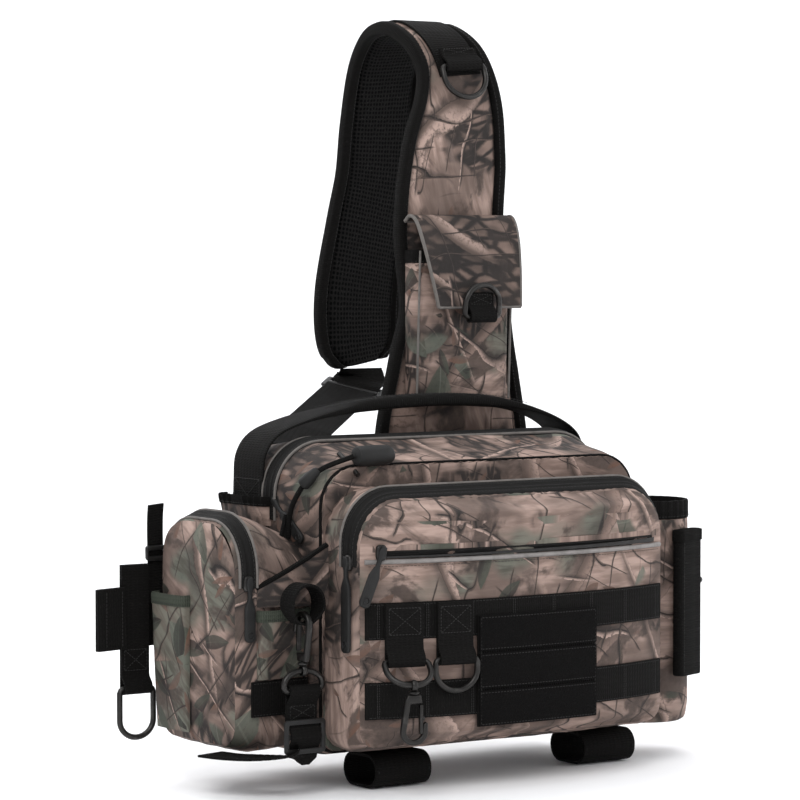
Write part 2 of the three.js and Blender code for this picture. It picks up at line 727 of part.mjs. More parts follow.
function snapHook() {
  const shape = new THREE.Shape();
  shape.moveTo(hookHalf * 0.5, 0);
  shape.lineTo(-hookHalf * 0.5, 0);
  shape.lineTo(-hookHalf * 0.68, -HOOK_BAR * 1.4);
  shape.lineTo(-hookHalf, bowLevel);
  shape.absarc(0, bowLevel, hookHalf, Math.PI, Math.PI * 2);
  shape.lineTo(hookHalf, bowLevel * 0.78);
  shape.lineTo(bowRadius + 0.9, bowLevel * 0.81);
  shape.lineTo(bowRadius, bowLevel);
  shape.absarc(0, bowLevel, bowRadius, 0, -Math.PI, true);
  shape.lineTo(-bowRadius * 0.45, -HOOK_BAR * 1.6);
  shape.lineTo(hookHalf * 0.6, -HOOK_BAR * 1.5);
  const hook = plate(shape, HOOK_THICKNESS, 7).rotateX(Math.PI / 2);
  const boreRadius = PIN_RADIUS + PIN_PLAY;
  const bore = new THREE.CylinderGeometry(boreRadius, boreRadius, HOOK_BAR * 2.5, 8).rotateX(Math.PI / 2);
  return cut(hook, bore);
}

// The gate is drawn about its own pivot
function hookGate() {
  const half = GATE_WIDTH / 2;
  const shape = new THREE.Shape();
  const top = gateTop - gatePivot.y;
  const end = gateEnd - gatePivot.y;
  shape.moveTo(-half, top - half * 0.4);
  shape.lineTo(-half * 0.4, top);
  shape.lineTo(half * 0.4, top);
  shape.lineTo(half, top - half * 0.4);
  shape.lineTo(half, end);
  shape.lineTo(-half, end);
  return plate(shape, HOOK_THICKNESS * 0.8).rotateX(Math.PI / 2);
}

// Two tabs with D rings hang from the upper webbing row
const tabReach = overRowLift + eyeRadius + WEBBING; // from the face out to the ring's bar
const tabLevel = UPPER_ROW_LEVEL + ROW_HEIGHT / 2 - TAB_LENGTH;

function tabGroup(x) {
  const span = TAB_WIDTH / 2;
  const slope = Math.atan2(faceY(x - span) - faceY(x + span), TAB_WIDTH);
  const group = new THREE.Group();
  const nearest = Math.min(faceY(x), (faceY(x - span) + faceY(x + span)) / 2);
  group.position.set(x, nearest - tabReach / Math.cos(slope), tabLevel);
  group.rotation.z = -slope;
  bag.add(group);
  return group;
}

function makeTabs() {
  const left = tabGroup(LEFT_TAB_X);
  piece('tab_left', eyeTab(TAB_WIDTH, TAB_LENGTH), 'webbing', left);
  const tilted = new THREE.Group();
  tilted.rotation.x = -radians(RING_TILT);
  left.add(tilted);
  piece('tab_ring_left', dRing(RING_HALF_WIDTH, RING_DROP, wireRadius), 'metal', tilted);
  const hanging = new THREE.Group();
  const tilt = radians(RING_TILT);
  hanging.position.set(0, -Math.sin(tilt) * RING_DROP, -Math.cos(tilt) * RING_DROP);
  left.add(hanging);
  piece('front_swivel', swivelEye(), 'metal', hanging);
  const hook = piece('front_hook', snapHook(), 'metal', hanging);
  hook.position.z = collarBottom - SEAM_GAP;
  const gate = piece('front_hook_gate', hookGate(), 'metal', hanging);
  gate.position.set(gatePivot.x, 0, collarBottom - SEAM_GAP + gatePivot.y);

  const right = tabGroup(RIGHT_TAB_X);
  piece('tab_right', eyeTab(TAB_WIDTH, TAB_LENGTH), 'webbing', right);
  piece('tab_ring_right', dRing(RING_HALF_WIDTH, RING_DROP, wireRadius), 'metal', right);
}

// Patch pocket on a flat wall: width across, mouth at the top, open against the wall
function patchPocket(size, ripple = 0, ripples = 1) {
  const rings = (inset) => {
    const top = inset > 0 ? size.height + 1 : size.height;
    const rows = [inset, size.height * 0.6, top];
    return rows.map((up) => {
      const share = Math.min(up / size.height, 1);
      const depth = THREE.MathUtils.lerp(size.base, size.mouth, share) - inset;
      const half = THREE.MathUtils.lerp(size.lowWidth ?? size.width, size.width, share) / 2 - inset;
      const corner = Math.min(depth * 0.5, half * 0.3);
      const back = inset > 0 ? -1 : 0;
      const front = [];
      const count = ripples * 2;
      for (let i = 0; i <= count; i += 1) {
        const side = THREE.MathUtils.lerp(half - corner, -half + corner, i / count);
        const wave = i % 2 === 1 ? -ripple * share : 0;
        front.push([side, -(depth + wave)]);
      }
      const sides = [half, -half].map((side) => [side, -(depth - corner)]);
      const outline = [[-half, -back], [half, -back], sides[0], ...front, sides[1]];
      return outline.map(([side, y]) => vec(side, y, up));
    });
  };
  const loft = (list) => sweepRings(list);
  return cut(loft(rings(0)), loft(rings(size.cloth)));
}

// Closed loft through flat rings
function sweepRings(rings) {
  const skin = new Skin();
  for (let i = 1; i < rings.length; i += 1) skin.band(rings[i - 1], rings[i]);
  skin.endCaps(rings, (index) => rings[index].map((p) => new THREE.Vector2(p.x, p.y)));
  return skin.geometry();
}

// Side pouch: its face looks along -X
const POUCH_SECTIONS = [
  { depth: 0.0, side: 0.93, top: 0.9, bottom: 0.02, topCorner: 0.2, bottomCorner: 0.08 },
  { depth: 0.73, side: 1.0, top: 1.0, bottom: 0.0, topCorner: 0.23, bottomCorner: 0.1 },
  { depth: 1.0, side: 0.93, top: 0.965, bottom: 0.03, topCorner: 0.2, bottomCorner: 0.09 },
];
const pouchSize = { width: POUCH_WIDTH, depth: POUCH_DEPTH, height: POUCH_HEIGHT };
const placePouch = (across, up, depth) => vec(pouchBase - depth, POUCH_CENTRE - across, POUCH_RAISE + up);
const pouchBulge = (share) => POUCH_BULGE * (1 - Math.abs(share) ** 2.5);
const pouchOuter = softBox(sectionsOf(POUCH_SECTIONS, pouchSize), STUFFED_ROWS, pouchBulge, placePouch);
const pouchInner = softBox(
  hollowSections(POUCH_SECTIONS, pouchSize, true), STUFFED_ROWS, pouchBulge, placePouch,
);
const pouchSeam = POUCH_SECTIONS[1];
const pouchSeamX = pouchBase - pouchSeam.depth * POUCH_DEPTH;
const pouchFaceX = pouchBase - POUCH_DEPTH;
const pouchFrontY = POUCH_CENTRE - POUCH_WIDTH / 2;
const pouchFlare = (POUCH_WIDTH / 2) * (1 - POUCH_SECTIONS[0].side);
const pouchSlant = Math.atan2(pouchFlare, pouchSeam.depth * POUCH_DEPTH);

function makePouch() {
  const shell = cut(pouchOuter, pouchInner);
  const zipEnd = pouchTop - POUCH_ZIP_DROP;
  const slot = (gap) => boxBetween(
    vec(pouchSeamX - POUCH_ZIP_WIDTH + gap, -BODY_WIDTH, zipEnd + gap),
    vec(pouchSeamX - gap, BODY_WIDTH, pouchTop * 2),
  );
  piece('side_pouch', cut(shell, slot(0)), 'camo');
  piece('pouch_zip', common(shell, slot(SEAM_GAP)), 'zip');

  const frontSlip = piece('pouch_front_slip', patchPocket({
    width: SLIP_FRONT_WIDTH, height: SLIP_FRONT_HEIGHT, mouth: SLIP_MOUTH, base: SLIP_BASE, cloth: SLIP_CLOTH,
  }), 'leaf');
  const slipX = pouchBase - SLIP_FRONT_WIDTH / 2 - SLIP_CORNER_GAP;
  frontSlip.position.set(
    slipX,
    pouchFrontY + Math.tan(pouchSlant) * (slipX - pouchSeamX) - SEAM_GAP * 1.2,
    POUCH_RAISE + SLIP_FRONT_RAISE,
  );
  frontSlip.rotation.z = pouchSlant;

  const sideSlip = piece('pouch_side_slip', patchPocket({
    width: SLIP_SIDE_WIDTH, height: SLIP_SIDE_HEIGHT, mouth: SLIP_MOUTH, base: SLIP_BASE, cloth: SLIP_CLOTH,
  }), 'leaf');
  sideSlip.position.set(
    pouchFaceX - POUCH_BULGE - SEAM_GAP,
    POUCH_CENTRE + SLIP_SIDE_SHIFT,
    POUCH_RAISE + SLIP_SIDE_RAISE,
  );
  sideSlip.rotation.z = -Math.PI / 2;

  const bandTop = POUCH_RAISE + SLIP_FRONT_RAISE - SEAM_GAP * 3;
  const low = vec(-POUCH_BAND_LENGTH, -WEBBING, bandTop - POUCH_BAND_HEIGHT);
  const band = piece('pouch_band', boxBetween(low, vec(0, 0, bandTop)), 'webbing');
  band.position.set(pouchBase - SEAM_GAP * 3, pouchFrontY + pouchFlare - SEAM_GAP * 1.5, 0);
  band.rotation.z = pouchSlant;

  const puller = piece('pouch_zip_puller', zipPuller(POUCH_PULLER_LENGTH, PULLER_WIDTH), 'rubber');
  puller.position.set(
    pouchSeamX - POUCH_ZIP_WIDTH / 2,
    pouchFrontY - PULLER_THICKNESS / 2,
    zipEnd + SLIDER_LIFT,
  );

  piece('pouch_wing', wingSheet(), 'camo');
}

// Triangular ear of cloth from the pouch to the front pocket
function wingSheet() {
  const outer = vec(pouchSeamX - 1, pouchFrontY - SEAM_GAP - CLOTH / 2, 0);
  const inner = vec(-POCKET_WIDTH / 2 - SEAM_GAP, pocketBack - 8, 0);
  const low = POUCH_RAISE + SLIP_FRONT_RAISE + SLIP_FRONT_HEIGHT + WING_CLEARANCE;
  const corners = [
    outer.clone().setZ(low),
    inner.clone().setZ(low),
    inner.clone().setZ(low + WING_INNER_HEIGHT),
    outer.clone().setZ(low + WING_OUTER_HEIGHT),
  ];
  const rings = [-CLOTH / 2, CLOTH / 2].map((shift) => corners.map((p) => vec(p.x, p.y + shift, p.z)));
  const skin = new Skin();
  skin.band(rings[0], rings[1]);
  skin.endCaps(rings, (index) => rings[index].map((p) => new THREE.Vector2(p.x, p.z)));
  return skin.geometry();
}

// Half outline of a slider, from its top down to the neck of its puller
const SLIDER_OUTLINE = [{ half: 2, up: 5 }, { half: 3.4, up: 0 }, { half: 1.6, up: -9 }];

// Slider with its moulded puller hanging in front, leaning within its own plane
function zipPuller(length, width, lean = 0) {
  const round = width / 2;
  const edge = [
    ...SLIDER_OUTLINE,
    { half: width * 0.3, up: -PULLER_NECK },
    { half: round, up: -length * 0.6 },
  ];
  const shape = new THREE.Shape();
  shape.moveTo(-edge[0].half, edge[0].up);
  edge.forEach((at) => shape.lineTo(at.half, at.up));
  shape.absarc(0, round - length, round, 0, -Math.PI, true);
  edge.slice(1).reverse().forEach((at) => shape.lineTo(-at.half, at.up));
  return plate(shape, PULLER_THICKNESS, 4).rotateX(Math.PI / 2).rotateY(-radians(lean));
}

// Elastic mouth: a patch pocket with its top gathered into ripples
function makeSidePocket() {
  const pocket = piece('side_elastic_pocket', patchPocket({
    width: ELASTIC_WIDTH,
    height: ELASTIC_HEIGHT,
    mouth: ELASTIC_MOUTH,
    base: SLIP_BASE * 2,
    cloth: SLIP_CLOTH,
  }, ELASTIC_RIPPLE, 8), 'camo');
  pocket.position.set(-sideX - SEAM_GAP, HANDLE_Y + 1, ELASTIC_TOP - ELASTIC_HEIGHT);
  pocket.rotation.z = -Math.PI / 2;
}

// Compression strap: cloth loop, hook, ring, webbing, slide and tail
function makeSideChain() {
  const chain = new THREE.Group();
  chain.position.set(-POCKET_WIDTH / 2 - CHAIN_REACH, pocketBack - CHAIN_FORWARD, CHAIN_LEVEL);
  bag.add(chain);

  const ringHolder = new THREE.Group();
  ringHolder.rotation.y = Math.PI;
  chain.add(ringHolder);
  piece('side_ring', dRing(SIDE_RING_HALF_WIDTH, SIDE_RING_DROP, wireRadius), 'metal', ringHolder);

  const hookHolder = new THREE.Group();
  hookHolder.position.z = SIDE_RING_DROP;
  hookHolder.rotation.y = Math.PI;
  chain.add(hookHolder);
  piece('side_swivel', swivelEye(), 'metal', hookHolder);
  const hook = piece('side_hook', sideHook(), 'metal', hookHolder);
  hook.position.z = collarBottom - SEAM_GAP;
  hook.rotation.z = Math.PI / 2;

  const bowTop = SIDE_RING_DROP - collarBottom + SEAM_GAP - bowLevel;
  piece('side_loop', clothLoop(), 'webbing', chain).position.z = bowTop + 1;

  piece('side_tab', eyeTab(SIDE_WEBBING, SIDE_TAB_LENGTH), 'webbing', ringHolder);
  makeSideSlide(chain);
}

// The fastened hook and its gate act as one closed link
function sideHook() {
  const gate = hookGate().translate(gatePivot.x, 0, gatePivot.y);
  const closed = boxBetween(
    vec(gatePivot.x - GATE_WIDTH / 2, -HOOK_THICKNESS * 0.4, gateEnd),
    vec(bowRadius + 1.6, HOOK_THICKNESS * 0.4, gateEnd + 2.5),
  );
  const hinge = boxBetween(
    vec(gatePivot.x - GATE_WIDTH / 2 + 0.4, -HOOK_THICKNESS * 0.4, gateTop - 0.5),
    vec(gatePivot.x + GATE_WIDTH / 2 - 0.4, HOOK_THICKNESS * 0.4, gateTop + HOOK_BAR * 0.7),
  );
  return join(snapHook(), gate, closed, hinge);
}

// Closed loop of webbing, pinched where the hook holds it
function clothLoop() {
  const count = 20;
  const stations = Array.from({ length: count }, (_, i) => {
    const turn = (i / count) * Math.PI * 2;
    const across = Math.sin(turn) * LOOP_HALF_WIDTH;
    const up = (1 - Math.cos(turn)) * LOOP_HALF_HEIGHT;
    const inwards = vec(-Math.sin(turn), 0, Math.cos(turn));
    const pinch = THREE.MathUtils.smoothstep(1 - Math.cos(turn), 0.1, 0.9);
    return { middle: vec(across, 0, up), across: vec(0, 1, 0), out: inwards, pinch };
  });
  return sweep(stations, (at) => {
    const half = THREE.MathUtils.lerp(bowRadius - 0.8, LOOP_WEBBING / 2, at.pinch);
    return flatSection(half, -WEBBING / 2, WEBBING / 2);
  }, true);
}

// Three-bar slide in the XZ plane, centred on the origin
const slideSlot = (SLIDE_HEIGHT - GLIDE_BAR * 3) / 2;

function threeBarSlide(webbingWidth) {
  const inner = webbingWidth + 1.6;
  const frame = roundedRectangle(inner + GLIDE_BAR * 2, SLIDE_HEIGHT, GLIDE_BAR * 0.75);
  for (const side of [-1, 1]) {
    const middle = side * (GLIDE_BAR + slideSlot) / 2;
    const hole = new THREE.Path();
    hole.moveTo(-inner / 2, middle - slideSlot / 2);
    hole.lineTo(inner / 2, middle - slideSlot / 2);
    hole.lineTo(inner / 2, middle + slideSlot / 2);
    hole.lineTo(-inner / 2, middle + slideSlot / 2);
    frame.holes.push(hole);
  }
  return plate(frame, SLIDE_THICKNESS, 3).rotateX(Math.PI / 2);
}

// Points of webbing threaded through such a slide: behind, over, behind
const threadLift = SLIDE_THICKNESS / 2 + WEBBING / 2 + SEAM_GAP;

function threadedPoints(centre, along, front) {
  const endBar = GLIDE_BAR + slideSlot;
  const shares = [-endBar - GLIDE_BAR / 2, -endBar + GLIDE_BAR / 2, -GLIDE_BAR / 2, GLIDE_BAR / 2];
  shares.push(endBar - GLIDE_BAR / 2, endBar + GLIDE_BAR / 2);
  const lifts = [-1, -1, 1, 1, -1, -1];
  return shares.map((share, i) => (
    centre.clone().addScaledVector(along, share).addScaledVector(front, lifts[i] * threadLift)
  ));
}

// Way of the webbing under the pouch, from the slide: to the left, back and over the floor
const UNDER_POUCH = [
  { left: 6, back: 2, rise: 1 }, { left: 26, back: 12, rise: 0 },
  { left: 44, back: 28, rise: 0 }, { left: 50, back: 52, rise: 0 },
];

function makeSideSlide(chain) {
  const slideEnd = SLIDE_HEIGHT * 0.1 - SIDE_TAB_LENGTH;
  const centre = vec(0, -threadLift, slideEnd - SLIDE_HEIGHT / 2);
  piece('side_slide', threeBarSlide(SIDE_WEBBING), 'plastic', chain).position.copy(centre);
  const pouchFloor = POUCH_RAISE - CHAIN_LEVEL - SEAM_GAP - WEBBING / 2;
  const points = [
    ...threadedPoints(centre, vec(0, 0, -1), vec(0, -1, 0)),
    ...UNDER_POUCH.map((at) => vec(-at.left, at.back, pouchFloor + at.rise)),
  ];
  piece('side_webbing', webbingAlong(points, vec(1, 0, 0), SIDE_WEBBING), 'webbing', chain);
}

// End of the waist strap, folded back: past its reach, forwards and down
const WAIST_FOLD = [
  { past: -8, forward: 0, sag: 4 }, { past: 0, forward: 1.6, sag: 4 }, { past: 2, forward: 4, sag: 4 },
  { past: 0, forward: 6.4, sag: 4 }, { past: -22, forward: 7, sag: 3 },
];

// Straps behind the pouch: waist stub, hanging ring and a short keeper
function makeRearStraps() {
  const backY = BODY_BACK + SEAM_GAP + WEBBING / 2;
  const waist = [
    vec(WAIST_SEWN - sideX, backY, WAIST_LEVEL),
    vec(-sideX, backY, WAIST_LEVEL),
    ...WAIST_FOLD.map((at) => vec(-sideX - WAIST_REACH - at.past, backY - at.forward, WAIST_LEVEL - at.sag)),
  ];
  piece('waist_strap', webbingAlong(waist, vec(0, 0, 1), WAIST_WIDTH), 'webbing');

  const ringX = -sideX - HANGER_REACH;
  const ringY = backY - WEBBING - SEAM_GAP - eyeRadius - WEBBING;
  const hanger = new THREE.Group();
  hanger.position.set(ringX, ringY, HANGER_RING_LEVEL);
  bag.add(hanger);
  piece('hanger_webbing', eyeTab(HANGER_WIDTH, HANGER_LENGTH), 'webbing', hanger);
  piece('hanger_ring', dRing(HANGER_RING_HALF_WIDTH, HANGER_RING_DROP, wireRadius), 'metal', hanger);

  const keeperX = ringX + HANGER_WIDTH / 2 + KEEPER_WIDTH / 2 + SEAM_GAP * 3;
  const keeperY = backY - WEBBING - SEAM_GAP;
  const keeper = [
    vec(keeperX, keeperY, WAIST_LEVEL + KEEPER_WIDTH / 2),
    vec(keeperX, keeperY, WAIST_LEVEL + WAIST_WIDTH / 2 + KEEPER_WIDTH / 2),
    vec(keeperX - KEEPER_WIDTH * 0.3, keeperY - KEEPER_WIDTH * 0.4, pouchTop - KEEPER_WIDTH * 0.7),
    vec(keeperX - KEEPER_WIDTH * 0.4, keeperY - KEEPER_WIDTH * 0.7, pouchTop + KEEPER_WIDTH * 0.3),
  ];
  piece('keeper_strap', webbingAlong(keeper, vec(1, 0, 0), KEEPER_WIDTH), 'webbing');
}

// Bottle pocket: a round cup sewn into the side, an elastic band round its mouth
function makeBottlePocket() {
  const centreX = sideX + SEAM_GAP + BOTTLE_RADIUS - BOTTLE_SINK;
  const wallTop = BOTTLE_HEIGHT - BOTTLE_BAND - SEAM_GAP;
  const profile = [
    [0, 0], [BOTTLE_RADIUS * 0.86, 0], [BOTTLE_RADIUS * 0.98, 6],
    [BOTTLE_RADIUS, 60], [BOTTLE_RADIUS, wallTop],
    [BOTTLE_RADIUS - CLOTH, wallTop], [BOTTLE_RADIUS - CLOTH, 60], [BOTTLE_RADIUS * 0.98 - CLOTH, 7 + CLOTH],
    [BOTTLE_RADIUS * 0.8, CLOTH], [0, CLOTH],
  ];
  const bandProfile = [
    [BOTTLE_RADIUS - CLOTH * 1.6, 0], [BOTTLE_RADIUS - CLOTH * 0.4, 0],
    [BOTTLE_RADIUS - CLOTH * 0.2, BOTTLE_BAND], [BOTTLE_RADIUS - CLOTH * 1.4, BOTTLE_BAND],
  ];
  const turned = (points, closed) => {
    const outline = points.map(([radius, up]) => new THREE.Vector2(radius, up));
    if (closed) outline.push(outline[0].clone());
    return new THREE.LatheGeometry(outline, 24).rotateX(Math.PI / 2).translate(centreX, BOTTLE_Y, 0);
  };
  const bagSide = boxBetween(
    vec(0, -BODY_WIDTH, -BODY_HEIGHT),
    vec(sideX + SEAM_GAP, BODY_WIDTH, BODY_HEIGHT * 2),
  );
  piece('bottle_pocket', cut(turned(profile, false), bagSide), 'camo');
  const band = piece('bottle_band', cut(turned(bandProfile, true), bagSide), 'webbing');
  band.position.z = wallTop + SEAM_GAP;
  makeSheath(centreX);
}

// Flat sheath for a tool, standing in front of the bottle pocket
function makeSheath(centreX) {
  const shape = roundedRectangle(SHEATH_WIDTH, SHEATH_DEPTH, SHEATH_DEPTH * 0.42);
  const wall = CLOTH * 1.6;
  const inside = roundedRectangle(SHEATH_WIDTH - wall, SHEATH_DEPTH - wall, SHEATH_DEPTH * 0.25);
  shape.holes.push(new THREE.Path(inside.getPoints(2)));
  const sleeve = plate(shape, SHEATH_HEIGHT, 3);
  const floor = plate(roundedRectangle(SHEATH_WIDTH - 1, SHEATH_DEPTH - 1, 3), CLOTH, 3)
    .translate(0, 0, (CLOTH - SHEATH_HEIGHT) / 2);
  const sheath = piece('tool_sheath', join(sleeve, floor), 'webbing');
  const turn = radians(SHEATH_TURN);
  const reach = BOTTLE_RADIUS + SEAM_GAP + SHEATH_DEPTH / 2;
  sheath.position.set(
    centreX + Math.sin(turn) * reach,
    BOTTLE_Y - Math.cos(turn) * reach,
    SHEATH_LEVEL + SHEATH_HEIGHT / 2,
  );
  sheath.rotation.z = turn;
  const knob = new THREE.CylinderGeometry(STUD_RADIUS * 0.7, STUD_RADIUS, STUD_LENGTH, 10);
  const stud = piece('sheath_stud', knob.rotateZ(-Math.PI / 2), 'plastic');
  const studReach = (SHEATH_WIDTH + STUD_LENGTH) / 2 + SEAM_GAP;
  stud.position.copy(sheath.position);
  stud.position.x += Math.cos(turn) * studReach;
  stud.position.y += Math.sin(turn) * studReach;
  stud.position.z = STUD_LEVEL;
  stud.rotation.z = turn;
}

// Belt loops: open tubes of stiff webbing under the bag
function makeBeltLoops() {
  const outline = (inset) => roundedRectangle(
    BELT_LOOP_DEPTH - inset * 2,
    BELT_LOOP_DROP - inset * 2,
    BELT_LOOP_DROP / 2 - inset - 0.5,
  );
  const places = [
    { name: 'left', x: LEFT_LOOP_INSET - sideX, y: bodyFront + LEFT_LOOP_BACK },
    { name: 'right', x: sideX - RIGHT_LOOP_INSET, y: bodyFront + RIGHT_LOOP_BACK },
  ];
  for (const at of places) {
    const shape = outline(0);
    shape.holes.push(new THREE.Path(outline(BELT_LOOP_WALL).getPoints(4)));
    const tube = plate(shape, BELT_LOOP_WIDTH, 4).rotateX(Math.PI / 2).rotateZ(Math.PI / 2);
    piece(`belt_loop_${at.name}`, tube, 'webbing').position.set(at.x, at.y, -SEAM_GAP - BELT_LOOP_DROP / 2);
  }
}

// Carry handle: flat at its sewn ends, rolled in the middle
const HANDLE_STATIONS = [
  { side: -1.0, rise: -1.0, width: 1, roll: 0 },
  { side: -1.0, rise: -0.55, width: 1, roll: 0 },
  { side: -0.985, rise: -0.18, width: 1, roll: 0 },
  { side: -0.9, rise: 0.08, width: 1, roll: 0 },
  { side: -0.72, rise: 0.24, width: 0.96, roll: 0.1 },
  { side: -0.5, rise: 0.34, width: 0.8, roll: 0.5 },
  { side: -0.28, rise: 0.41, width: 0.62, roll: 1 },
  { side: 0.1, rise: 0.45, width: 0.6, roll: 1 },
  { side: 0.42, rise: 0.42, width: 0.62, roll: 1 },
  { side: 0.62, rise: 0.34, width: 0.8, roll: 0.5 },
  { side: 0.8, rise: 0.2, width: 0.96, roll: 0.1 },
  { side: 0.93, rise: 0.02, width: 1, roll: 0 },
  { side: 0.99, rise: -0.2, width: 1, roll: 0 },
  { side: 1.0, rise: -0.55, width: 1, roll: 0 },
  { side: 1.0, rise: -1.0, width: 1, roll: 0 },
];

// A table is smoothed by one spline, so its columns stay in step
function smoothTable(rows, columns, count) {
  const splines = [];
  for (let i = 0; i < columns.length; i += 3) {
    const names = [0, 1, 2].map((k) => columns[Math.min(i + k, columns.length - 1)]);
    const points = rows.map((row) => vec(...names.map((name) => row[name])));
    splines.push({ names, curve: new THREE.CatmullRomCurve3(points, false, 'catmullrom') });
  }
  return Array.from({ length: count + 1 }, (_, i) => {
    const station = {};
    for (const { names, curve } of splines) {
      const point = curve.getPoint(i / count);
      [point.x, point.y, point.z].forEach((value, k) => { station[names[k]] = value; });
    }
    return station;
  });
}

function makeHandle() {
  const flatReach = sideX + SEAM_GAP + WEBBING * 0.75;
  const stations = smoothTable(HANDLE_STATIONS, ['side', 'rise', 'width', 'roll'], 32);
  const points = stations.map((at) => vec(
    at.side * flatReach,
    HANDLE_Y,
    BODY_HEIGHT + (at.rise > 0 ? (at.rise / 0.45) * HANDLE_RISE : at.rise * HANDLE_SIDE_RUN),
  ));
  const frames = framesAlong(points, vec(0, 1, 0));
  frames.forEach((frame, i) => Object.assign(frame, stations[i]));
  const gripShare = HANDLE_GRIP_WIDTH / HANDLE_WIDTH;
  piece('carry_handle', sweep(frames, (at) => {
    const half = (HANDLE_WIDTH * Math.max(at.width, gripShare)) / 2;
    const roll = THREE.MathUtils.clamp(at.roll, 0, 1);
    return roundedSection(half, THREE.MathUtils.lerp(WEBBING * 1.4, HANDLE_GRIP_THICKNESS, roll) / 2);
  }), 'webbing');
}

// Shoulder strap: up the back, over the arch and down again
// rise and reach are shares of STRAP_RISE and STRAP_REACH, shift and width of STRAP_BASE_WIDTH
const STRAP_STATIONS = [
  { rise: 0.0, reach: 0.0, shift: 0.0, width: 1.0 },
  { rise: 0.088, reach: 0.0, shift: 0.0, width: 0.99 },
  { rise: 0.232, reach: 0.0, shift: 0.01, width: 0.85 },
  { rise: 0.365, reach: 0.0, shift: 0.02, width: 0.72 },
  { rise: 0.541, reach: 0.0, shift: -0.02, width: 0.71 },
  { rise: 0.702, reach: 0.0, shift: 0.013, width: 0.68 },
  { rise: 0.812, reach: 0.01, shift: 0.05, width: 0.58 },
  { rise: 0.895, reach: 0.05, shift: 0.05, width: 0.5 },
  { rise: 0.956, reach: 0.15, shift: 0.025, width: 0.475 },
  { rise: 0.992, reach: 0.32, shift: 0.01, width: 0.47 },
  { rise: 1.0, reach: 0.48, shift: 0.015, width: 0.475 },
  { rise: 0.978, reach: 0.67, shift: 0.035, width: 0.485 },
  { rise: 0.909, reach: 0.84, shift: 0.06, width: 0.5 },
  { rise: 0.785, reach: 0.95, shift: 0.08, width: 0.52 },
  { rise: 0.66, reach: 0.99, shift: 0.075, width: 0.53 },
  { rise: 0.539, reach: 1.0, shift: 0.025, width: 0.55 },
  { rise: 0.392, reach: 1.0, shift: -0.035, width: 0.575 },
  { rise: 0.293, reach: 1.0, shift: -0.04, width: 0.56 },
  { rise: 0.25, reach: 1.0, shift: -0.03, width: 0.47 },
  { rise: 0.227, reach: 1.0, shift: -0.02, width: 0.34 },
];
const strapY = BODY_BACK + SEAM_GAP + BINDING_THICKNESS / 2;
const strapStations = smoothTable(STRAP_STATIONS, ['rise', 'reach', 'shift', 'width'], STRAP_STEPS);
const strapPoints = strapStations.map((at) => vec(
  STRAP_X + at.shift * STRAP_BASE_WIDTH,
  strapY + at.reach * STRAP_REACH,
  STRAP_FOOT + at.rise * STRAP_RISE,
));
const strapFrames = framesAlong(strapPoints, vec(1, 0, 0));
strapFrames.forEach((frame, i) => {
  frame.half = (strapStations[i].width * STRAP_BASE_WIDTH) / 2;
});
const stationAt = (share) => Math.round(share * (strapFrames.length - 1));
const layerGap = SEAM_GAP / 2;

function makeStrap() {
  const core = (at) => at.half - BINDING_WIDTH - SEAM_GAP;
  const layer = (inner, outer) => sweep(strapFrames, (at) => flatSection(core(at), inner, outer));
  piece('strap_outer', layer(layerGap, layerGap + STRAP_OUTER), 'camo');
  piece('strap_mesh', layer(-layerGap, -layerGap - STRAP_MESH), 'mesh');
  for (const [name, side] of [['left', -1], ['right', 1]]) {
    piece(`strap_binding_${name}`, sweep(strapFrames, (at) => {
      const middle = side * (at.half - BINDING_WIDTH / 2);
      const half = BINDING_THICKNESS / 2;
      return flatSection(BINDING_WIDTH / 2, -half, half).map(([a, b]) => [a + middle, b]);
    }), 'webbing');
  }
  makeRearWebbing();
  makeTopTab();
  makePhonePocket();
}

// Webbing from the pad's end down to the bag's rear corner
function makeRearWebbing() {
  const end = strapFrames[strapFrames.length - 1];
  const start = end.middle.clone().add(vec(0, 0, -WEBBING * 2.5));
  const bend = start.clone().add(vec(0, 0, -9));
  const sewnY = BODY_BACK + SEAM_GAP + WEBBING / 2;
  const finish = vec(REAR_WEBBING_INSET - sideX, sewnY + WEBBING * 3, BODY_HEIGHT * 0.98);
  const along = finish.clone().sub(bend).normalize();
  const across = vec(1, 0, 0).addScaledVector(along, -along.x).normalize();
  const front = new THREE.Vector3().crossVectors(across, along).normalize();
  const slideCentre = bend.clone()
    .addScaledVector(along, SLIDE_HEIGHT * 0.9)
    .addScaledVector(front, threadLift);
  const points = [
    start,
    start.clone().add(vec(0, 0, -3)),
    bend,
    ...threadedPoints(slideCentre, along, front),
    slideCentre.clone().addScaledVector(along, SLIDE_HEIGHT).addScaledVector(front, -threadLift),
    finish,
    vec(finish.x - WEBBING * 2, sewnY + WEBBING / 2, finish.z - REAR_WEBBING_SEWN * 0.45),
    vec(finish.x - WEBBING * 3, sewnY, finish.z - REAR_WEBBING_SEWN),
  ];
  const straight = vec(1, 0, 0);
  const lastSlanted = points.length - 4;
  const widthwards = points.map((_, i) => (i < 2 || i > lastSlanted ? straight : across));
  piece('rear_webbing', webbingAlong(points, widthwards, REAR_WEBBING_WIDTH), 'webbing');
  const slide = piece('rear_slide', threeBarSlide(REAR_WEBBING_WIDTH), 'plastic');
  slide.position.copy(slideCentre);
  slide.quaternion.setFromRotationMatrix(new THREE.Matrix4().makeBasis(
    across, across.clone().cross(along).negate(), along.clone(),
  ));
}

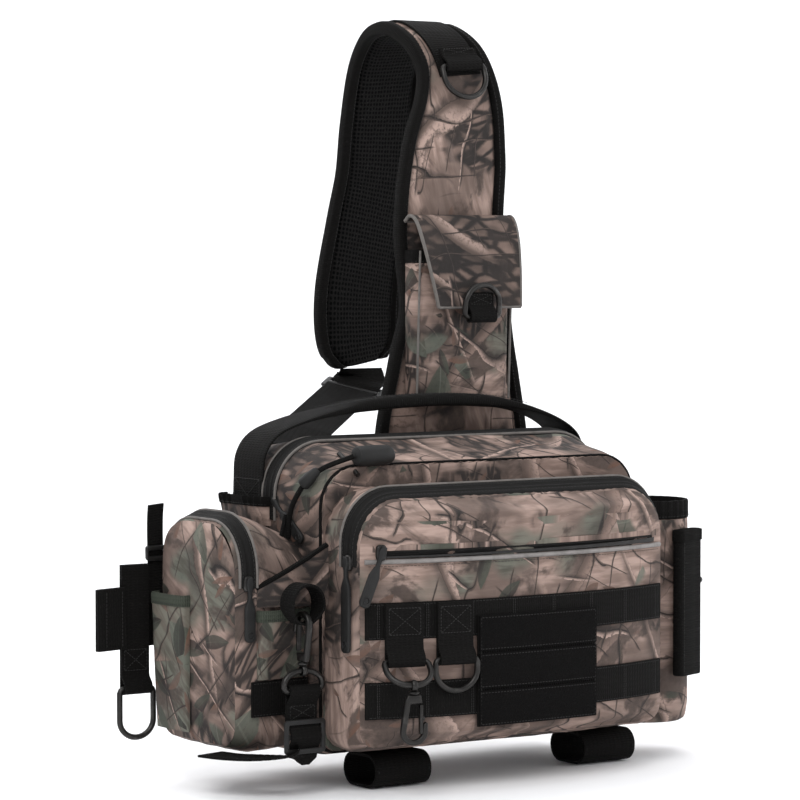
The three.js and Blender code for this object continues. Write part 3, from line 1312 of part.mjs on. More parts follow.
// Webbing over the arch, ending in an eye with a D ring
function makeTopTab() {
  const lift = layerGap + STRAP_OUTER + SEAM_GAP * 3;
  const first = stationAt(TOP_TAB_START);
  const run = strapFrames.slice(first, stationAt(TOP_TAB_END) + 1);
  piece('top_webbing', sweep(run, () => flatSection(TOP_TAB_WIDTH / 2, lift, lift + WEBBING)), 'webbing');
  const at = strapFrames[first];
  const holder = new THREE.Group();
  const down = at.across.clone().cross(at.out).normalize();
  holder.quaternion.setFromRotationMatrix(new THREE.Matrix4().makeBasis(
    at.across.clone(), at.out.clone().negate(), down.clone().negate(),
  ));
  const reach = lift + WEBBING + SEAM_GAP + eyeRadius + WEBBING;
  holder.position.copy(at.middle).addScaledVector(at.out, reach).addScaledVector(down, -TOP_EYE_LENGTH * 0.4);
  bag.add(holder);
  piece('top_tab', eyeTab(TOP_TAB_WIDTH * 0.86, TOP_EYE_LENGTH), 'webbing', holder);
  const swing = new THREE.Group();
  holder.add(swing);
  piece('top_ring', dRing(TOP_RING_HALF_WIDTH, TOP_RING_DROP, wireRadius), 'metal', swing);
}

// Phone pocket with a flap that folds over its mouth
const FLAP_ROWS = [
  { drop: 0.0, forward: 0.0, left: 1.0 },
  { drop: -0.06, forward: 0.3, left: 1.0 },
  { drop: 0.0, forward: 0.62, left: 0.98 },
  { drop: 0.22, forward: 0.86, left: 0.93 },
  { drop: 0.55, forward: 0.97, left: 0.82 },
  { drop: 0.8, forward: 1.0, left: 0.73 },
  { drop: 1.0, forward: 1.0, left: 0.66 },
];

function makePhonePocket() {
  const strapFront = strapY - layerGap - STRAP_OUTER - SEAM_GAP;
  const pocket = piece('phone_pocket', patchPocket({
    width: PHONE_WIDTH, height: PHONE_HEIGHT, mouth: PHONE_DEPTH, base: PHONE_DEPTH * 0.7, cloth: SLIP_CLOTH,
  }), 'camo');
  pocket.position.set(PHONE_X, strapFront - PHONE_LIFT, PHONE_LEVEL);
  const flapReach = PHONE_DEPTH + FLAP_STAND;
  const stations = smoothTable(FLAP_ROWS, ['drop', 'forward', 'left'], 14);
  const points = stations.map((at) => vec(
    0,
    strapFront - PHONE_LIFT - CLOTH * 0.6 - at.forward * flapReach,
    PHONE_LEVEL + PHONE_HEIGHT + FLAP_HINGE_RISE - at.drop * FLAP_DROP,
  ));
  const frames = framesAlong(points, vec(1, 0, 0));
  frames.forEach((frame, i) => { frame.left = stations[i].left; });
  const flap = piece('phone_flap', sweep(frames, (at) => {
    const half = FLAP_WIDTH / 2;
    const [left, thick] = [-half * at.left, CLOTH / 2];
    return [[left, -thick], [half, -thick], [half, thick], [left, thick]];
  }), 'camo');
  flap.position.x = PHONE_X;

  const tab = new THREE.Group();
  const end = points[points.length - 1];
  const reach = CLOTH / 2 + SEAM_GAP + eyeRadius + WEBBING;
  tab.position.set(PHONE_X + FLAP_TAB_SHIFT, end.y - reach, end.z - FLAP_TAB_DROP);
  bag.add(tab);
  piece('flap_tab', eyeTab(FLAP_TAB_WIDTH, FLAP_TAB_LENGTH), 'webbing', tab);
  const upright = new THREE.Group();
  upright.rotation.set(radians(180 + FLAP_RING_LEAN), 0, 0);
  tab.add(upright);
  piece('flap_ring', dRing(FLAP_RING_HALF_WIDTH, FLAP_RING_DROP, wireRadius), 'metal', upright);
}

// Elastic cord from the pouch up over the bag's corner to its toggle, through a cone stop
const CORD_POINTS = [
  vec(-161.5, -31, 165), vec(-161.5, -36, 188), vec(-155, -46, 208),
  vec(-144, -54, 219), vec(-123, -64, 227.8),
];

function makeCord() {
  const stop = (share) => CORD_RADIUS * (1 + THREE.MathUtils.clamp(1 - Math.abs(share - 0.6) / 0.16, 0, 1));
  piece('bungee_cord', cordAlong(CORD_POINTS, stop, vec(0, 1, 0), 6, 18), 'rubber');
  const end = CORD_POINTS[CORD_POINTS.length - 1];
  const barrel = new THREE.CylinderGeometry(TOGGLE_RADIUS, TOGGLE_RADIUS, TOGGLE_LENGTH, 14);
  const toggle = piece('cord_toggle', barrel.rotateZ(Math.PI / 2), 'rubber');
  toggle.position.set(end.x + SEAM_GAP * 5 + TOGGLE_LENGTH / 2, end.y, end.z);
}

function makePullers() {
  const outline = zipPuller(MAIN_PULLER_LENGTH, PULLER_WIDTH, MAIN_PULLER_LEAN);
  const mainPuller = piece('main_zip_puller', outline, 'rubber');
  mainPuller.position.set(
    -sideX - SEAM_GAP - PULLER_THICKNESS / 2,
    BODY_BACK - BODY_DEPTH * BODY_ZIP_AT - PULLER_WIDTH,
    bodyZipEnd + MAIN_PULLER_LIFT,
  );
  mainPuller.rotation.z = -Math.PI / 2;
  const puller = piece('front_zip_puller', zipPuller(FRONT_PULLER_LENGTH, FRONT_PULLER_WIDTH), 'rubber');
  puller.position.set(
    -POCKET_WIDTH / 2 - PULLER_THICKNESS / 2 + SEAM_GAP,
    pocketBack - POCKET_DEPTH * POCKET_SECTIONS[1].depth - POCKET_ZIP_WIDTH / 2,
    POCKET_RAISE + POCKET_HEIGHT - POCKET_ZIP_DROP + SLIDER_LIFT,
  );
  puller.rotation.z = -Math.PI / 2;
  const slitOutline = zipPuller(SLIT_PULLER_LENGTH, PULLER_WIDTH, SLIT_PULLER_LEAN);
  const slitPuller = piece('slit_puller', slitOutline, 'rubber');
  const x = -SLIT_LENGTH / 2;
  slitPuller.position.set(x, faceY(x) - TAPE - PULLER_THICKNESS - SEAM_GAP, SLIT_LEVEL + SLIT_HEIGHT / 3);
}

bag.name = 'sling_bag';

makeBody();
makePocket();
makeTabs();
makePouch();
makeSidePocket();
makeSideChain();
makeRearStraps();
makeBottlePocket();
makeBeltLoops();
makeHandle();
makeStrap();
makePullers();
makeCord();

// The bag hangs from the underside of its strap's arch
const crown = strapFrames[stationAt(SHOULDER_SHARE)];
bag.position.copy(crown.middle).addScaledVector(crown.out, -layerGap - STRAP_MESH).negate();

export default bag;
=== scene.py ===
"""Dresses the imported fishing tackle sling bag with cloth, webbing, zips and hardware."""

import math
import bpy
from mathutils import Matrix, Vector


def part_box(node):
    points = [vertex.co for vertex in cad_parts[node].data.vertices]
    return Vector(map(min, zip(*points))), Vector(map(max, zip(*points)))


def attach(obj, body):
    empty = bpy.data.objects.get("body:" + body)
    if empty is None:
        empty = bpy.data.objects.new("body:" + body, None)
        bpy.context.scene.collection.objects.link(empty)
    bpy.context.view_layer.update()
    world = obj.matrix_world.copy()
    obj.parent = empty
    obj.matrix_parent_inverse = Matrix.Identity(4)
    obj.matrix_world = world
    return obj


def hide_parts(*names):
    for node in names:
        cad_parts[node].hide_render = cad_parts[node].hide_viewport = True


bl_info = {
    "name": "Tackle sling bag",
    "version": (1, 0, 0),
    "blender": (4, 5, 0),
    "location": "View3D > Sidebar > Bag",
    "description": "Builds a fishing tackle sling bag over its CAD frame",
    "category": "Add Mesh",
}

import bmesh
import bpy
import numpy as np
from mathutils import Vector, noise

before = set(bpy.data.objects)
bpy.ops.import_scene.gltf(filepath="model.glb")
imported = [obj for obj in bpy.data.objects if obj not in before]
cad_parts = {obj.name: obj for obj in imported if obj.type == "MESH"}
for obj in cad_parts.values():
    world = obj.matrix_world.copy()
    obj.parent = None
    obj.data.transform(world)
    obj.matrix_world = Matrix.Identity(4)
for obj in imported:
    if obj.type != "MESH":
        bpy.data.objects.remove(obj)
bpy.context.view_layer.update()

BODY_LOW = (-155.0, -62.0, 0.0)  # lowest corner of the main body in bag millimetres
SHIFT = Vector(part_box("main_body")[0]) * 1000 - Vector(BODY_LOW)


def place(x, y, z):
    """Bag millimetres to the row's metres."""
    return (Vector((x, y, z)) + SHIFT) / 1000


def tone(name, share=1.0):
    """A colour of the bag's palette, darkened or lightened by a share."""
    return tuple(c * share for c in getattr(bpy.context.scene.bag_colours, name)[:3]) + (1,)


class Value:
    """A shader socket that takes part in sums like a number."""

    def __init__(self, net, socket):
        self.net = net
        self.socket = socket

    def _math(self, operation, *others, clamp=False):
        node = self.net.make("ShaderNodeMath", {"operation": operation, "use_clamp": clamp})
        for index, item in enumerate((self, *others)):
            self.net.feed(node.inputs[index], item)
        return Value(self.net, node.outputs[0])

    def __add__(self, other):
        return self._math("ADD", other)

    def __sub__(self, other):
        return self._math("SUBTRACT", other)

    def __mul__(self, other):
        return self._math("MULTIPLY", other)

    def __truediv__(self, other):
        return self._math("DIVIDE", other)

    def __pow__(self, other):
        return self._math("POWER", other)

    __radd__ = __add__
    __rmul__ = __mul__

    def __rtruediv__(self, other):
        return (self ** -1) * other

    def __rsub__(self, other):
        return (self * -1) + other

    def __neg__(self):
        return self * -1

    def __abs__(self):
        return self._math("ABSOLUTE")

    def sine(self):
        return self._math("SINE")

    def cosine(self):
        return self._math("COSINE")

    def fraction(self):
        return self._math("FRACT")

    def ramp(self, low, high):
        """0 at low, 1 at high, smooth between."""
        node = self.net.make("ShaderNodeMapRange", {"interpolation_type": "SMOOTHSTEP", "clamp": True})
        self.net.feed(node.inputs["Value"], self)
        self.net.feed(node.inputs["From Min"], low)
        self.net.feed(node.inputs["From Max"], high)
        return Value(self.net, node.outputs[0])


class Net:
    """One material's nodes."""

    def __init__(self, name):
        self.material = bpy.data.materials.new(name)
        self.material.use_nodes = True
        self.tree = self.material.node_tree
        self.tree.nodes.clear()
        self.shader = self.make("ShaderNodeBsdfPrincipled")
        output = self.make("ShaderNodeOutputMaterial")
        self.tree.links.new(self.shader.outputs[0], output.inputs[0])

    def make(self, kind, settings=None, **sockets):
        node = self.tree.nodes.new(kind)
        for key, value in (settings or {}).items():
            setattr(node, key, value)
        for key, value in sockets.items():
            self.feed(node.inputs[key.replace("_", " ")], value)
        return node

    def feed(self, socket, item):
        if isinstance(item, Value):
            self.tree.links.new(item.socket, socket)
        elif item is not None:
            socket.default_value = item

    def coords(self, kind="UV"):
        node = self.make("ShaderNodeTexCoord")
        return Value(self, node.outputs[kind])

    def moved(self, vector, scale=(1, 1, 1), turn=0.0, shift=(0, 0, 0)):
        node = self.make("ShaderNodeMapping", Scale=scale, Location=shift, Rotation=(0, 0, turn))
        self.feed(node.inputs["Vector"], vector)
        return Value(self, node.outputs[0])

    def parts(self, vector):
        node = self.make("ShaderNodeSeparateXYZ", Vector=vector)
        return [Value(self, socket) for socket in node.outputs]

    def noise(self, vector, scale, detail=2.0, roughness=0.5, distortion=0.0, colour=False):
        node = self.make("ShaderNodeTexNoise", Vector=vector, Scale=scale, Detail=detail,
                         Roughness=roughness)
        node.inputs["Distortion"].default_value = distortion
        return Value(self, node.outputs["Color" if colour else "Fac"])

    def cells(self, vector, scale, randomness=1.0, feature="F1"):
        node = self.make("ShaderNodeTexVoronoi", {"feature": feature}, Vector=vector, Scale=scale,
                         Randomness=randomness)
        return {socket.name: Value(self, socket) for socket in node.outputs if socket.enabled}

    def vector(self, operation, a, b=None):
        node = self.make("ShaderNodeVectorMath", {"operation": operation})
        self.feed(node.inputs[0], a)
        self.feed(node.inputs[1], b)
        return Value(self, node.outputs["Value" if operation in ("LENGTH", "DOT_PRODUCT") else "Vector"])

    def mix(self, factor, a, b):
        node = self.make("ShaderNodeMix", {"data_type": "RGBA"})
        self.feed(node.inputs[0], factor)
        self.feed(node.inputs[6], a)
        self.feed(node.inputs[7], b)
        return Value(self, node.outputs[2])

    def bump(self, height, strength, distance, below=None):
        node = self.make("ShaderNodeBump", Height=height, Strength=strength, Distance=distance)
        self.feed(node.inputs["Normal"], below)
        return Value(self, node.outputs[0])

    def finish(self, colour, roughness, normal=None, **constants):
        self.feed(self.shader.inputs["Base Color"], colour)
        self.feed(self.shader.inputs["Roughness"], roughness)
        self.feed(self.shader.inputs["Normal"], normal)
        for key, value in constants.items():
            self.shader.inputs[key.replace("_", " ")].default_value = value
        return self.material


def paint_leaves(net, colour, uv, scale, slim, seed, low, light, deep, grain):
    """Scattered pointed leaves with a midrib, one for each cell that is kept."""
    at = net.moved(uv, shift=(seed, seed * 0.37, 0))
    cell = net.cells(at, scale, 0.9)
    red, green, blue = net.parts(cell["Color"])
    x, y, _ = net.parts(net.vector("SUBTRACT", at, cell["Position"]))
    turn = red * (2 * math.pi)
    along = (x * turn.cosine() + y * turn.sine()) * scale
    side = (y * turn.cosine() - x * turn.sine()) * scale + along * along * (green - 0.5) * 0.9
    size = 0.28 + blue * 0.2
    share = along / size
    edge = (1 - share * share) * size * slim
    inside = (edge - abs(side) + (grain - 0.5) * 0.02).ramp(0.0, 0.025)
    keep = net.noise(net.moved(uv, shift=(seed, 2 * seed, 0)), 9, 1.0).ramp(low, low + 0.03)
    leaf = net.mix((side / size * 1.6 + share * 0.35 + 0.5).ramp(0.1, 0.9), deep, light)
    leaf = net.mix(green * 0.6, leaf, deep)
    leaf = net.mix((0.012 - abs(side)).ramp(0.0, 0.01) * 0.6, leaf, light)
    leaf = net.mix(grain.ramp(0.5, 0.75) * 0.45, leaf, tone("bark"))
    return net.mix(inside * keep * 0.86, colour, leaf)


def paint_branches(net, colour, uv, scale, turn, low, width, seed, light, dark, grain):
    """Long wandering branches: lit on one side, dark at the rims, with a soft shadow beside them."""
    at = net.moved(uv, turn=turn, shift=(seed, -seed * 0.6, 0))
    wander = net.noise(net.moved(at, scale=(1.0, 0.3, 1.0)), scale * 0.8, 2.0, 0.5)
    x, _, _ = net.parts(at)
    lane = x * scale + wander * 2.1 + grain * 0.05
    off = lane.fraction() - 0.5
    keep = net.noise(net.moved(at, scale=(1.0, 0.5, 1.0), shift=(4.2, 1.7, 0)), scale * 0.8,
                     1.0).ramp(low, low + 0.05)
    thick = wander * width * 1.2 + width * 0.4
    shadow = (1 - abs(off + width * 0.9) / (width * 2.2)).ramp(0.0, 1.0) * keep
    colour = net.mix(shadow * 0.6, colour, tone("bark"))
    inside = (thick - abs(off)).ramp(0.0, 0.1 * width + 0.004) * keep
    body = net.mix((off / width * 0.5 + 0.5).ramp(0.15, 0.85), dark, light)
    body = net.mix(grain.ramp(0.48, 0.62) * 0.55, body, dark)
    body = net.mix((abs(off) - thick * 0.72).ramp(0.0, width * 0.25) * 0.75, body, tone("bark"))
    return net.mix(inside, colour, body)


def camo_colour(net, uv, bark_share=0.5, green_share=0.5):
    """Generic woodland print: blurred ground, cracked bark, branches, twigs and leaves."""
    sway = net.vector("MULTIPLY", net.noise(uv, 8, 2.0, 0.5, colour=True), (0.03, 0.03, 0.0))
    bent = net.vector("ADD", uv, sway)
    grain = net.noise(uv, 260, 4.0, 0.7)
    bands = net.noise(net.moved(uv, scale=(1, 6, 1)), 24, 3.0, 0.6)
    colour = net.mix(bands.ramp(0.36, 0.66), tone("tan"), tone("pale"))
    colour = net.mix(net.noise(uv, 13, 3.0, 0.55).ramp(0.42, 0.62) * 0.8, colour, tone("brown"))
    dim = net.noise(net.moved(bent, shift=(3.7, 9.2, 0), scale=(1, 1.4, 1)), 15, 5.0, 0.6, 0.5)
    wash = net.noise(net.moved(bent, shift=(1.9, 5.5, 0)), 11, 2.0, 0.5).ramp(0.66 - green_share * 0.14,
        0.72 - green_share * 0.12)
    colour = net.mix(wash * 0.8, colour, net.mix(bands.ramp(0.4, 0.62), tone("sage"), tone("leaf")))
    colour = net.mix(dim.ramp(0.495, 0.585) * 0.88, colour, net.mix(grain, tone("bark"), tone("brown")))
    # Cracked bark in patches
    grid = net.moved(bent, scale=(1.0, 0.42, 1.0), turn=0.55)
    plates = net.cells(grid, 105, 1.0, "DISTANCE_TO_EDGE")["Distance"]
    crack = plates + (grain - 0.5) * 0.12
    zone = net.noise(net.moved(bent, shift=(6.1, 1.2, 0)), 9, 3.0, 0.55).ramp(0.60 - bark_share * 0.16,
        0.64 - bark_share * 0.14)
    bark = net.mix(net.noise(grid, 60, 2.0).ramp(0.4, 0.66), tone("brown"), tone("tan"))
    bark = net.mix(crack.ramp(0.26, 0.06), bark, tone("bark"))
    colour = net.mix(zone * 0.95, colour, bark)
    for scale, turn, low, width, seed, light, dark in (
        (9, 0.75, 0.50, 0.085, 1.3, "tan", "brown"), (15, -0.5, 0.49, 0.075, 5.9, "pale", "brown"),
        (26, 1.9, 0.50, 0.05, 9.1, "pale", "bark"), (38, 0.2, 0.47, 0.032, 2.7, "brown", "bark"),
        (46, -1.1, 0.49, 0.026, 7.3, "brown", "bark"),
    ):
        colour = paint_branches(net, colour, uv, scale, turn, low, width, seed, tone(light), tone(dark),
                                grain)
    for scale, slim, seed, light, deep in ((14, 0.46, 3.3, "sage", "leaf"),
                                           (32, 0.3, 6.1, "rust", "brown"),
                                           (22, 0.34, 8.4, "leaf", "bark")):
        low = 0.66 - green_share * 0.2
        colour = paint_leaves(net, colour, uv, scale, slim, seed, low, tone(light), tone(deep), grain)
    return colour


def weave_height(net, uv, pitch):
    """Plain weave: threads over and under."""
    u, v, _ = net.parts(uv)
    turn = 2 * math.pi / pitch
    return (u * turn).sine() * 0.5 + (v * turn).sine() * 0.5 + ((u + v) * (turn / 2)).sine() * 0.25


def camo_material(name, bark=0.5, green=0.5, darken=0.0, shift=(0, 0, 0), turn=0.0):
    net = Net(name)
    uv = net.coords()
    colour = camo_colour(net, net.moved(uv, shift=shift, turn=turn), bark, green)
    if darken:
        colour = net.mix(darken, colour, tone("bark"))
    crumple = net.noise(net.moved(uv, scale=(1, 1.5, 1)), 42, 3.0, 0.5)
    under = net.bump(crumple, 0.35, 0.0022)
    normal = net.bump(weave_height(net, uv, 0.0011), 0.22, 0.0002, under)
    rough = 0.66 + net.noise(uv, 300, 2.0) * 0.2
    return net.finish(colour, rough, normal, Specular_IOR_Level=0.24)


def webbing_material(name, colour=None, pitch=0.0021, gloss=0.62):
    """Woven strap: rows of short ribs along its width, with painted shade that follows the weave's relief.
    """
    colour = colour or tone("black")
    net = Net(name)
    uv = net.coords()
    u, v, _ = net.parts(uv)
    rib = (v * (2 * math.pi / pitch)).sine()
    offset = (u * (math.pi / pitch)).sine()
    height = rib * 0.6 + ((v + u * 0.5) * (2 * math.pi / pitch)).sine() * 0.3 + offset * 0.25
    dust = net.noise(uv, 90, 4.0, 0.6)
    shade = net.mix(dust.ramp(0.45, 0.85) * 0.5, colour, tuple(c * 1.8 for c in colour[:3]) + (1,))
    # painted shade: the colour darkens towards the hollow tone as the weave's relief height rises
    shade = net.mix((height * 0.5 + 0.5) * 0.35, shade, tone("pile_and_weave_shade"))
    normal = net.bump(height, 0.5, 0.0005)
    return net.finish(shade, gloss + 0.1 + dust * 0.2, normal, Specular_IOR_Level=0.1)


def mesh_material(name):
    """Spacer mesh: open hexagonal holes, painted near black as the shade down inside them."""
    net = Net(name)
    uv = net.coords()
    cell = net.cells(net.moved(uv, scale=(1, 0.8, 1)), 330, 0.15)
    hole = cell["Distance"].ramp(0.42, 0.26)
    # painted shade: the holes take a near-black colour for the shade inside them
    shade = net.mix(hole, (0.0095, 0.009, 0.0087, 1), (0.0012, 0.0015, 0.0015, 1))
    normal = net.bump(hole * -1 + net.noise(uv, 60, 2.0) * 0.4, 0.9, 0.0012)
    return net.finish(shade, 0.85 + hole * 0.1, normal, Specular_IOR_Level=0.08)


def tape_material(name):
    """Coated zip tape with a fine weave and a slight gloss."""
    net = Net(name)
    uv = net.coords()
    dust = net.noise(uv, 70, 4.0, 0.6)
    shade = net.mix(dust.ramp(0.4, 0.8) * 0.4, tone("black"), (0.012, 0.0112, 0.0105, 1))
    normal = net.bump(weave_height(net, uv, 0.0009), 0.3, 0.0002)
    return net.finish(shade, 0.6 + dust * 0.18, normal, Specular_IOR_Level=0.14)


def piping_material(name, colour, gloss):
    net = Net(name)
    uv = net.coords("Object")
    dust = net.noise(uv, 120, 3.0, 0.6)
    shade = net.mix(dust.ramp(0.4, 0.75) * 0.55, colour, tuple(c * 0.45 for c in colour[:3]) + (1,))
    normal = net.bump(net.noise(uv, 900, 2.0), 0.3, 0.0002)
    return net.finish(shade, gloss + dust * 0.2, normal, Specular_IOR_Level=0.3)


def moulded_material(name, colour, gloss, grain):
    """Moulded plastic or rubber with a fine erosion grain and rubbed high spots."""
    net = Net(name)
    at = net.coords("Object")
    grit = net.noise(at, grain, 3.0, 0.6)
    smear = net.noise(at, 60, 3.0, 0.6)
    shade = net.mix(smear.ramp(0.45, 0.8) * 0.5, colour, tuple(c * 2.4 for c in colour[:3]) + (1,))
    normal = net.bump(grit, 0.25, 0.00025)
    return net.finish(shade, gloss + smear * 0.22, normal, Specular_IOR_Level=0.3)


def metal_material(name):
    """Gunmetal plating with fine scratches, rubbed brighter in places."""
    net = Net(name)
    at = net.coords("Object")
    scratch = net.noise(net.moved(at, scale=(1, 1, 9)), 260, 3.0, 0.7)
    worn = net.noise(at, 85, 4.0, 0.65)
    shine = net.mix(worn.ramp(0.52, 0.78), tone("metal"), tone("metal", 2.5))
    rough = 0.24 + scratch * 0.22 + worn * 0.1
    normal = net.bump(scratch, 0.12, 0.0002)
    return net.finish(shine, rough, normal, Metallic=0.9)


def fuzz_material(name):
    """Loop pile: matt, tufted and slightly uneven, with the tuft tops painted lighter as highlight."""
    net = Net(name)
    uv = net.coords()
    tuft = net.noise(uv, 700, 3.0, 0.7)
    clump = net.noise(uv, 110, 3.0, 0.6)
    # painted highlight: the same tuft noise that raises the pile lightens its colour, so the tuft tops read
    # lighter
    shade = net.mix(tuft.ramp(0.4, 0.75) * 0.6, tone("pile_and_weave_shade"), (0.0075, 0.0068, 0.0063, 1))
    normal = net.bump(tuft + clump * 0.6, 1.0, 0.0014)
    return net.finish(shade, 0.92, normal, Specular_IOR_Level=0.1)


WELD = 2e-5  # metres within which the points of grids are joined


class Shape:
    def __init__(self):
        self.points = []
        self.faces = []
        self.uvs = []
        self.slots = []

    def grid(self, points, uvs, closed=False, slot=0, flip=False):
        """points and uvs are rows by columns; closed joins the last column to the first."""
        points = np.asarray(points, dtype=float)
        uvs = np.asarray(uvs, dtype=float)
        rows, columns = points.shape[:2]
        start = len(self.points)
        self.points.extend(map(tuple, points.reshape(-1, 3)))
        last = columns if closed else columns - 1
        for i in range(rows - 1):
            for j in range(last):
                k = (j + 1) % columns
                corners = [(i, j), (i, k), (i + 1, k), (i + 1, j)]
                if flip:
                    corners.reverse()
                self.faces.append([start + r * columns + c for r, c in corners])
                wrapped = [(r, c if not (closed and c == 0 and j == columns - 1) else 0)
                           for r, c in corners]
                self.uvs.append([tuple(uvs[r, c]) if c or j < columns - 1 or not closed
                                 else tuple(2 * uvs[r, columns - 1] - uvs[r, columns - 2])
                                 for r, c in wrapped])
                self.slots.append(slot)
        return self

    def build(self, name, materials, body="bag", smooth=40.0):
        mesh = bpy.data.meshes.new(name)
        mesh.from_pydata([tuple(place(*p)) for p in self.points], [], self.faces)
        layer = mesh.uv_layers.new(name="UVMap")
        flat = [c for face in self.uvs for uv in face for c in uv]
        layer.data.foreach_set("uv", [c / 1000 for c in flat])
        mesh.polygons.foreach_set("material_index", self.slots)
        for material in materials:
            mesh.materials.append(material)
        work = bmesh.new()
        work.from_mesh(mesh)
        bmesh.ops.remove_doubles(work, verts=work.verts, dist=WELD)
        bmesh.ops.recalc_face_normals(work, faces=work.faces)
        work.to_mesh(mesh)
        work.free()
        mesh.polygons.foreach_set("use_smooth", [True] * len(mesh.polygons))
        mesh.set_sharp_from_angle(angle=math.radians(smooth))
        made = bpy.data.objects.new(name, mesh)
        bpy.context.scene.collection.objects.link(made)
        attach(made, body)
        return made


def spline(values, count):
    """Uniform Catmull-Rom through the rows of a table, as the frame's own tables are smoothed."""
    values = np.asarray(values, dtype=float)
    last = len(values) - 1
    result = []
    for k in range(count + 1):
        at = last * k / count
        i = min(int(at), last - 1)
        t = at - i
        p1, p2 = values[i], values[i + 1]
        p0 = values[i - 1] if i > 0 else 2 * p1 - p2
        p3 = values[i + 2] if i + 2 <= last else 2 * p2 - p1
        v0, v1 = (p2 - p0) / 2, (p3 - p1) / 2
        cube, square = 2 * p1 - 2 * p2 + v0 + v1, 3 * p2 - 3 * p1 - 2 * v0 - v1
        result.append(cube * t ** 3 + square * t ** 2 + v0 * t + p1)
    return np.array(result)


def polyline(points, count):
    """The same run of points, evenly spaced."""
    points = np.asarray(points, dtype=float)
    steps = np.linalg.norm(np.diff(points, axis=0), axis=1)
    run = np.concatenate([[0], np.cumsum(steps)])
    at = np.linspace(0, run[-1], count)
    return np.stack([np.interp(at, run, points[:, k]) for k in range(3)], axis=1), run[-1]


def smooth_run(points, count, rounds=2):
    """A polyline with its corners cut, evenly spaced."""
    points = np.asarray(points, dtype=float)
    for _ in range(rounds):
        mid = []
        for a, b in zip(points[:-1], points[1:]):
            mid += [a * 0.75 + b * 0.25, a * 0.25 + b * 0.75]
        points = np.array([points[0], *mid, points[-1]])
    return polyline(points, count)


def frames(points, widthwards):
    """Tangent, width and outward directions along a run; widthwards is one vector or one a point."""
    points = np.asarray(points, dtype=float)
    wide = np.broadcast_to(np.asarray(widthwards, dtype=float), points.shape)
    along = np.gradient(points, axis=0)
    along /= np.linalg.norm(along, axis=1)[:, None]
    across = wide - along * (wide * along).sum(axis=1)[:, None]
    across /= np.linalg.norm(across, axis=1)[:, None]
    return along, across, np.cross(across, along)


def section_sweep(shape, points, widthwards, section, slot=0):
    """Closed sweep of a section (list of side, out; or a function of the share) with closed ends."""
    points = np.asarray(points, dtype=float)
    _, across, out = frames(points, widthwards)
    steps = np.linalg.norm(np.diff(points, axis=0), axis=1)
    run = np.concatenate([[0], np.cumsum(steps)])
    rings, maps = [], []
    for i, middle in enumerate(points):
        outline = np.asarray(section(i / (len(points) - 1)) if callable(section) else section, dtype=float)
        ring = middle + outline[:, :1] * across[i] + outline[:, 1:2] * out[i]
        rings.append(ring)
        maps.append([(side + 0.3 * lift, run[i]) for side, lift in outline])
    shape.grid(rings, maps, closed=True, slot=slot)
    for index in (0, -1):
        ring = rings[index]
        middle = ring.mean(axis=0)
        inner = middle + (ring - middle) * 0.02
        uv = np.array(maps[index])
        uv_inner = uv.mean(axis=0) + (uv - uv.mean(axis=0)) * 0.02
        shape.grid([ring, inner], [uv, uv_inner], closed=True, slot=slot, flip=index == 0)
    return shape


def strap_section(width, thickness):
    """Flat woven strap with softly rounded selvedges."""
    half, thick = width / 2, thickness / 2
    edge = 1 - 0.35 / half * thick
    top = [(half * s, thick) for s in np.linspace(edge, -edge, 7)]
    low = [(side, -lift) for side, lift in reversed(top)]
    return [(half, 0.0), *top, (-half, 0.0), *low]


def round_section(radius, sides=10):
    turns = np.linspace(0, 2 * math.pi, sides, endpoint=False)
    return [(math.cos(t) * radius, math.sin(t) * radius) for t in turns]


def tube(shape, points, radius, sides=8):
    return section_sweep(shape, points, (0.13, 0.31, 0.94), round_section(radius, sides))


def stitches(shape, points, normal, pitch=2.6, length=1.9, radius=0.28, lift=0.12):
    """Short thread segments along a run, lying on a surface whose outward direction is normal."""
    radius = radius * bpy.context.scene.bag_sizes.stitch
    normal = np.asarray(normal, dtype=float)
    points = np.asarray(points, dtype=float)
    steps = np.linalg.norm(np.diff(points, axis=0), axis=1)
    run = np.concatenate([[0], np.cumsum(steps)])
    at = lambda s: np.array([np.interp(s, run, points[:, k]) for k in range(3)])
    normals = np.broadcast_to(normal, points.shape)
    facing = lambda s: np.array([np.interp(s, run, normals[:, k]) for k in range(3)])
    count = int(run[-1] / pitch)
    for k in range(count):
        a = (k + 0.5) * run[-1] / count - length / 2
        ends = [a, a + length * 0.25, a + length * 0.75, a + length]
        lifts = [-radius * 0.8, lift, lift, -radius * 0.8]
        path = [at(s) + facing(s) * h for s, h in zip(ends, lifts)]
        along = path[-1] - path[0]
        along /= np.linalg.norm(along)
        side = np.cross(along, facing(a))
        ring = []
        for p in path:
            ring.append([p + side * c * radius + facing(a) * s * radius
                         for c, s in ((1, 0), (0.5, 0.8), (-0.5, 0.8), (-1, 0), (0, -0.7))])
        shape.grid(ring, np.zeros((4, 5, 2)), closed=True)
    return shape


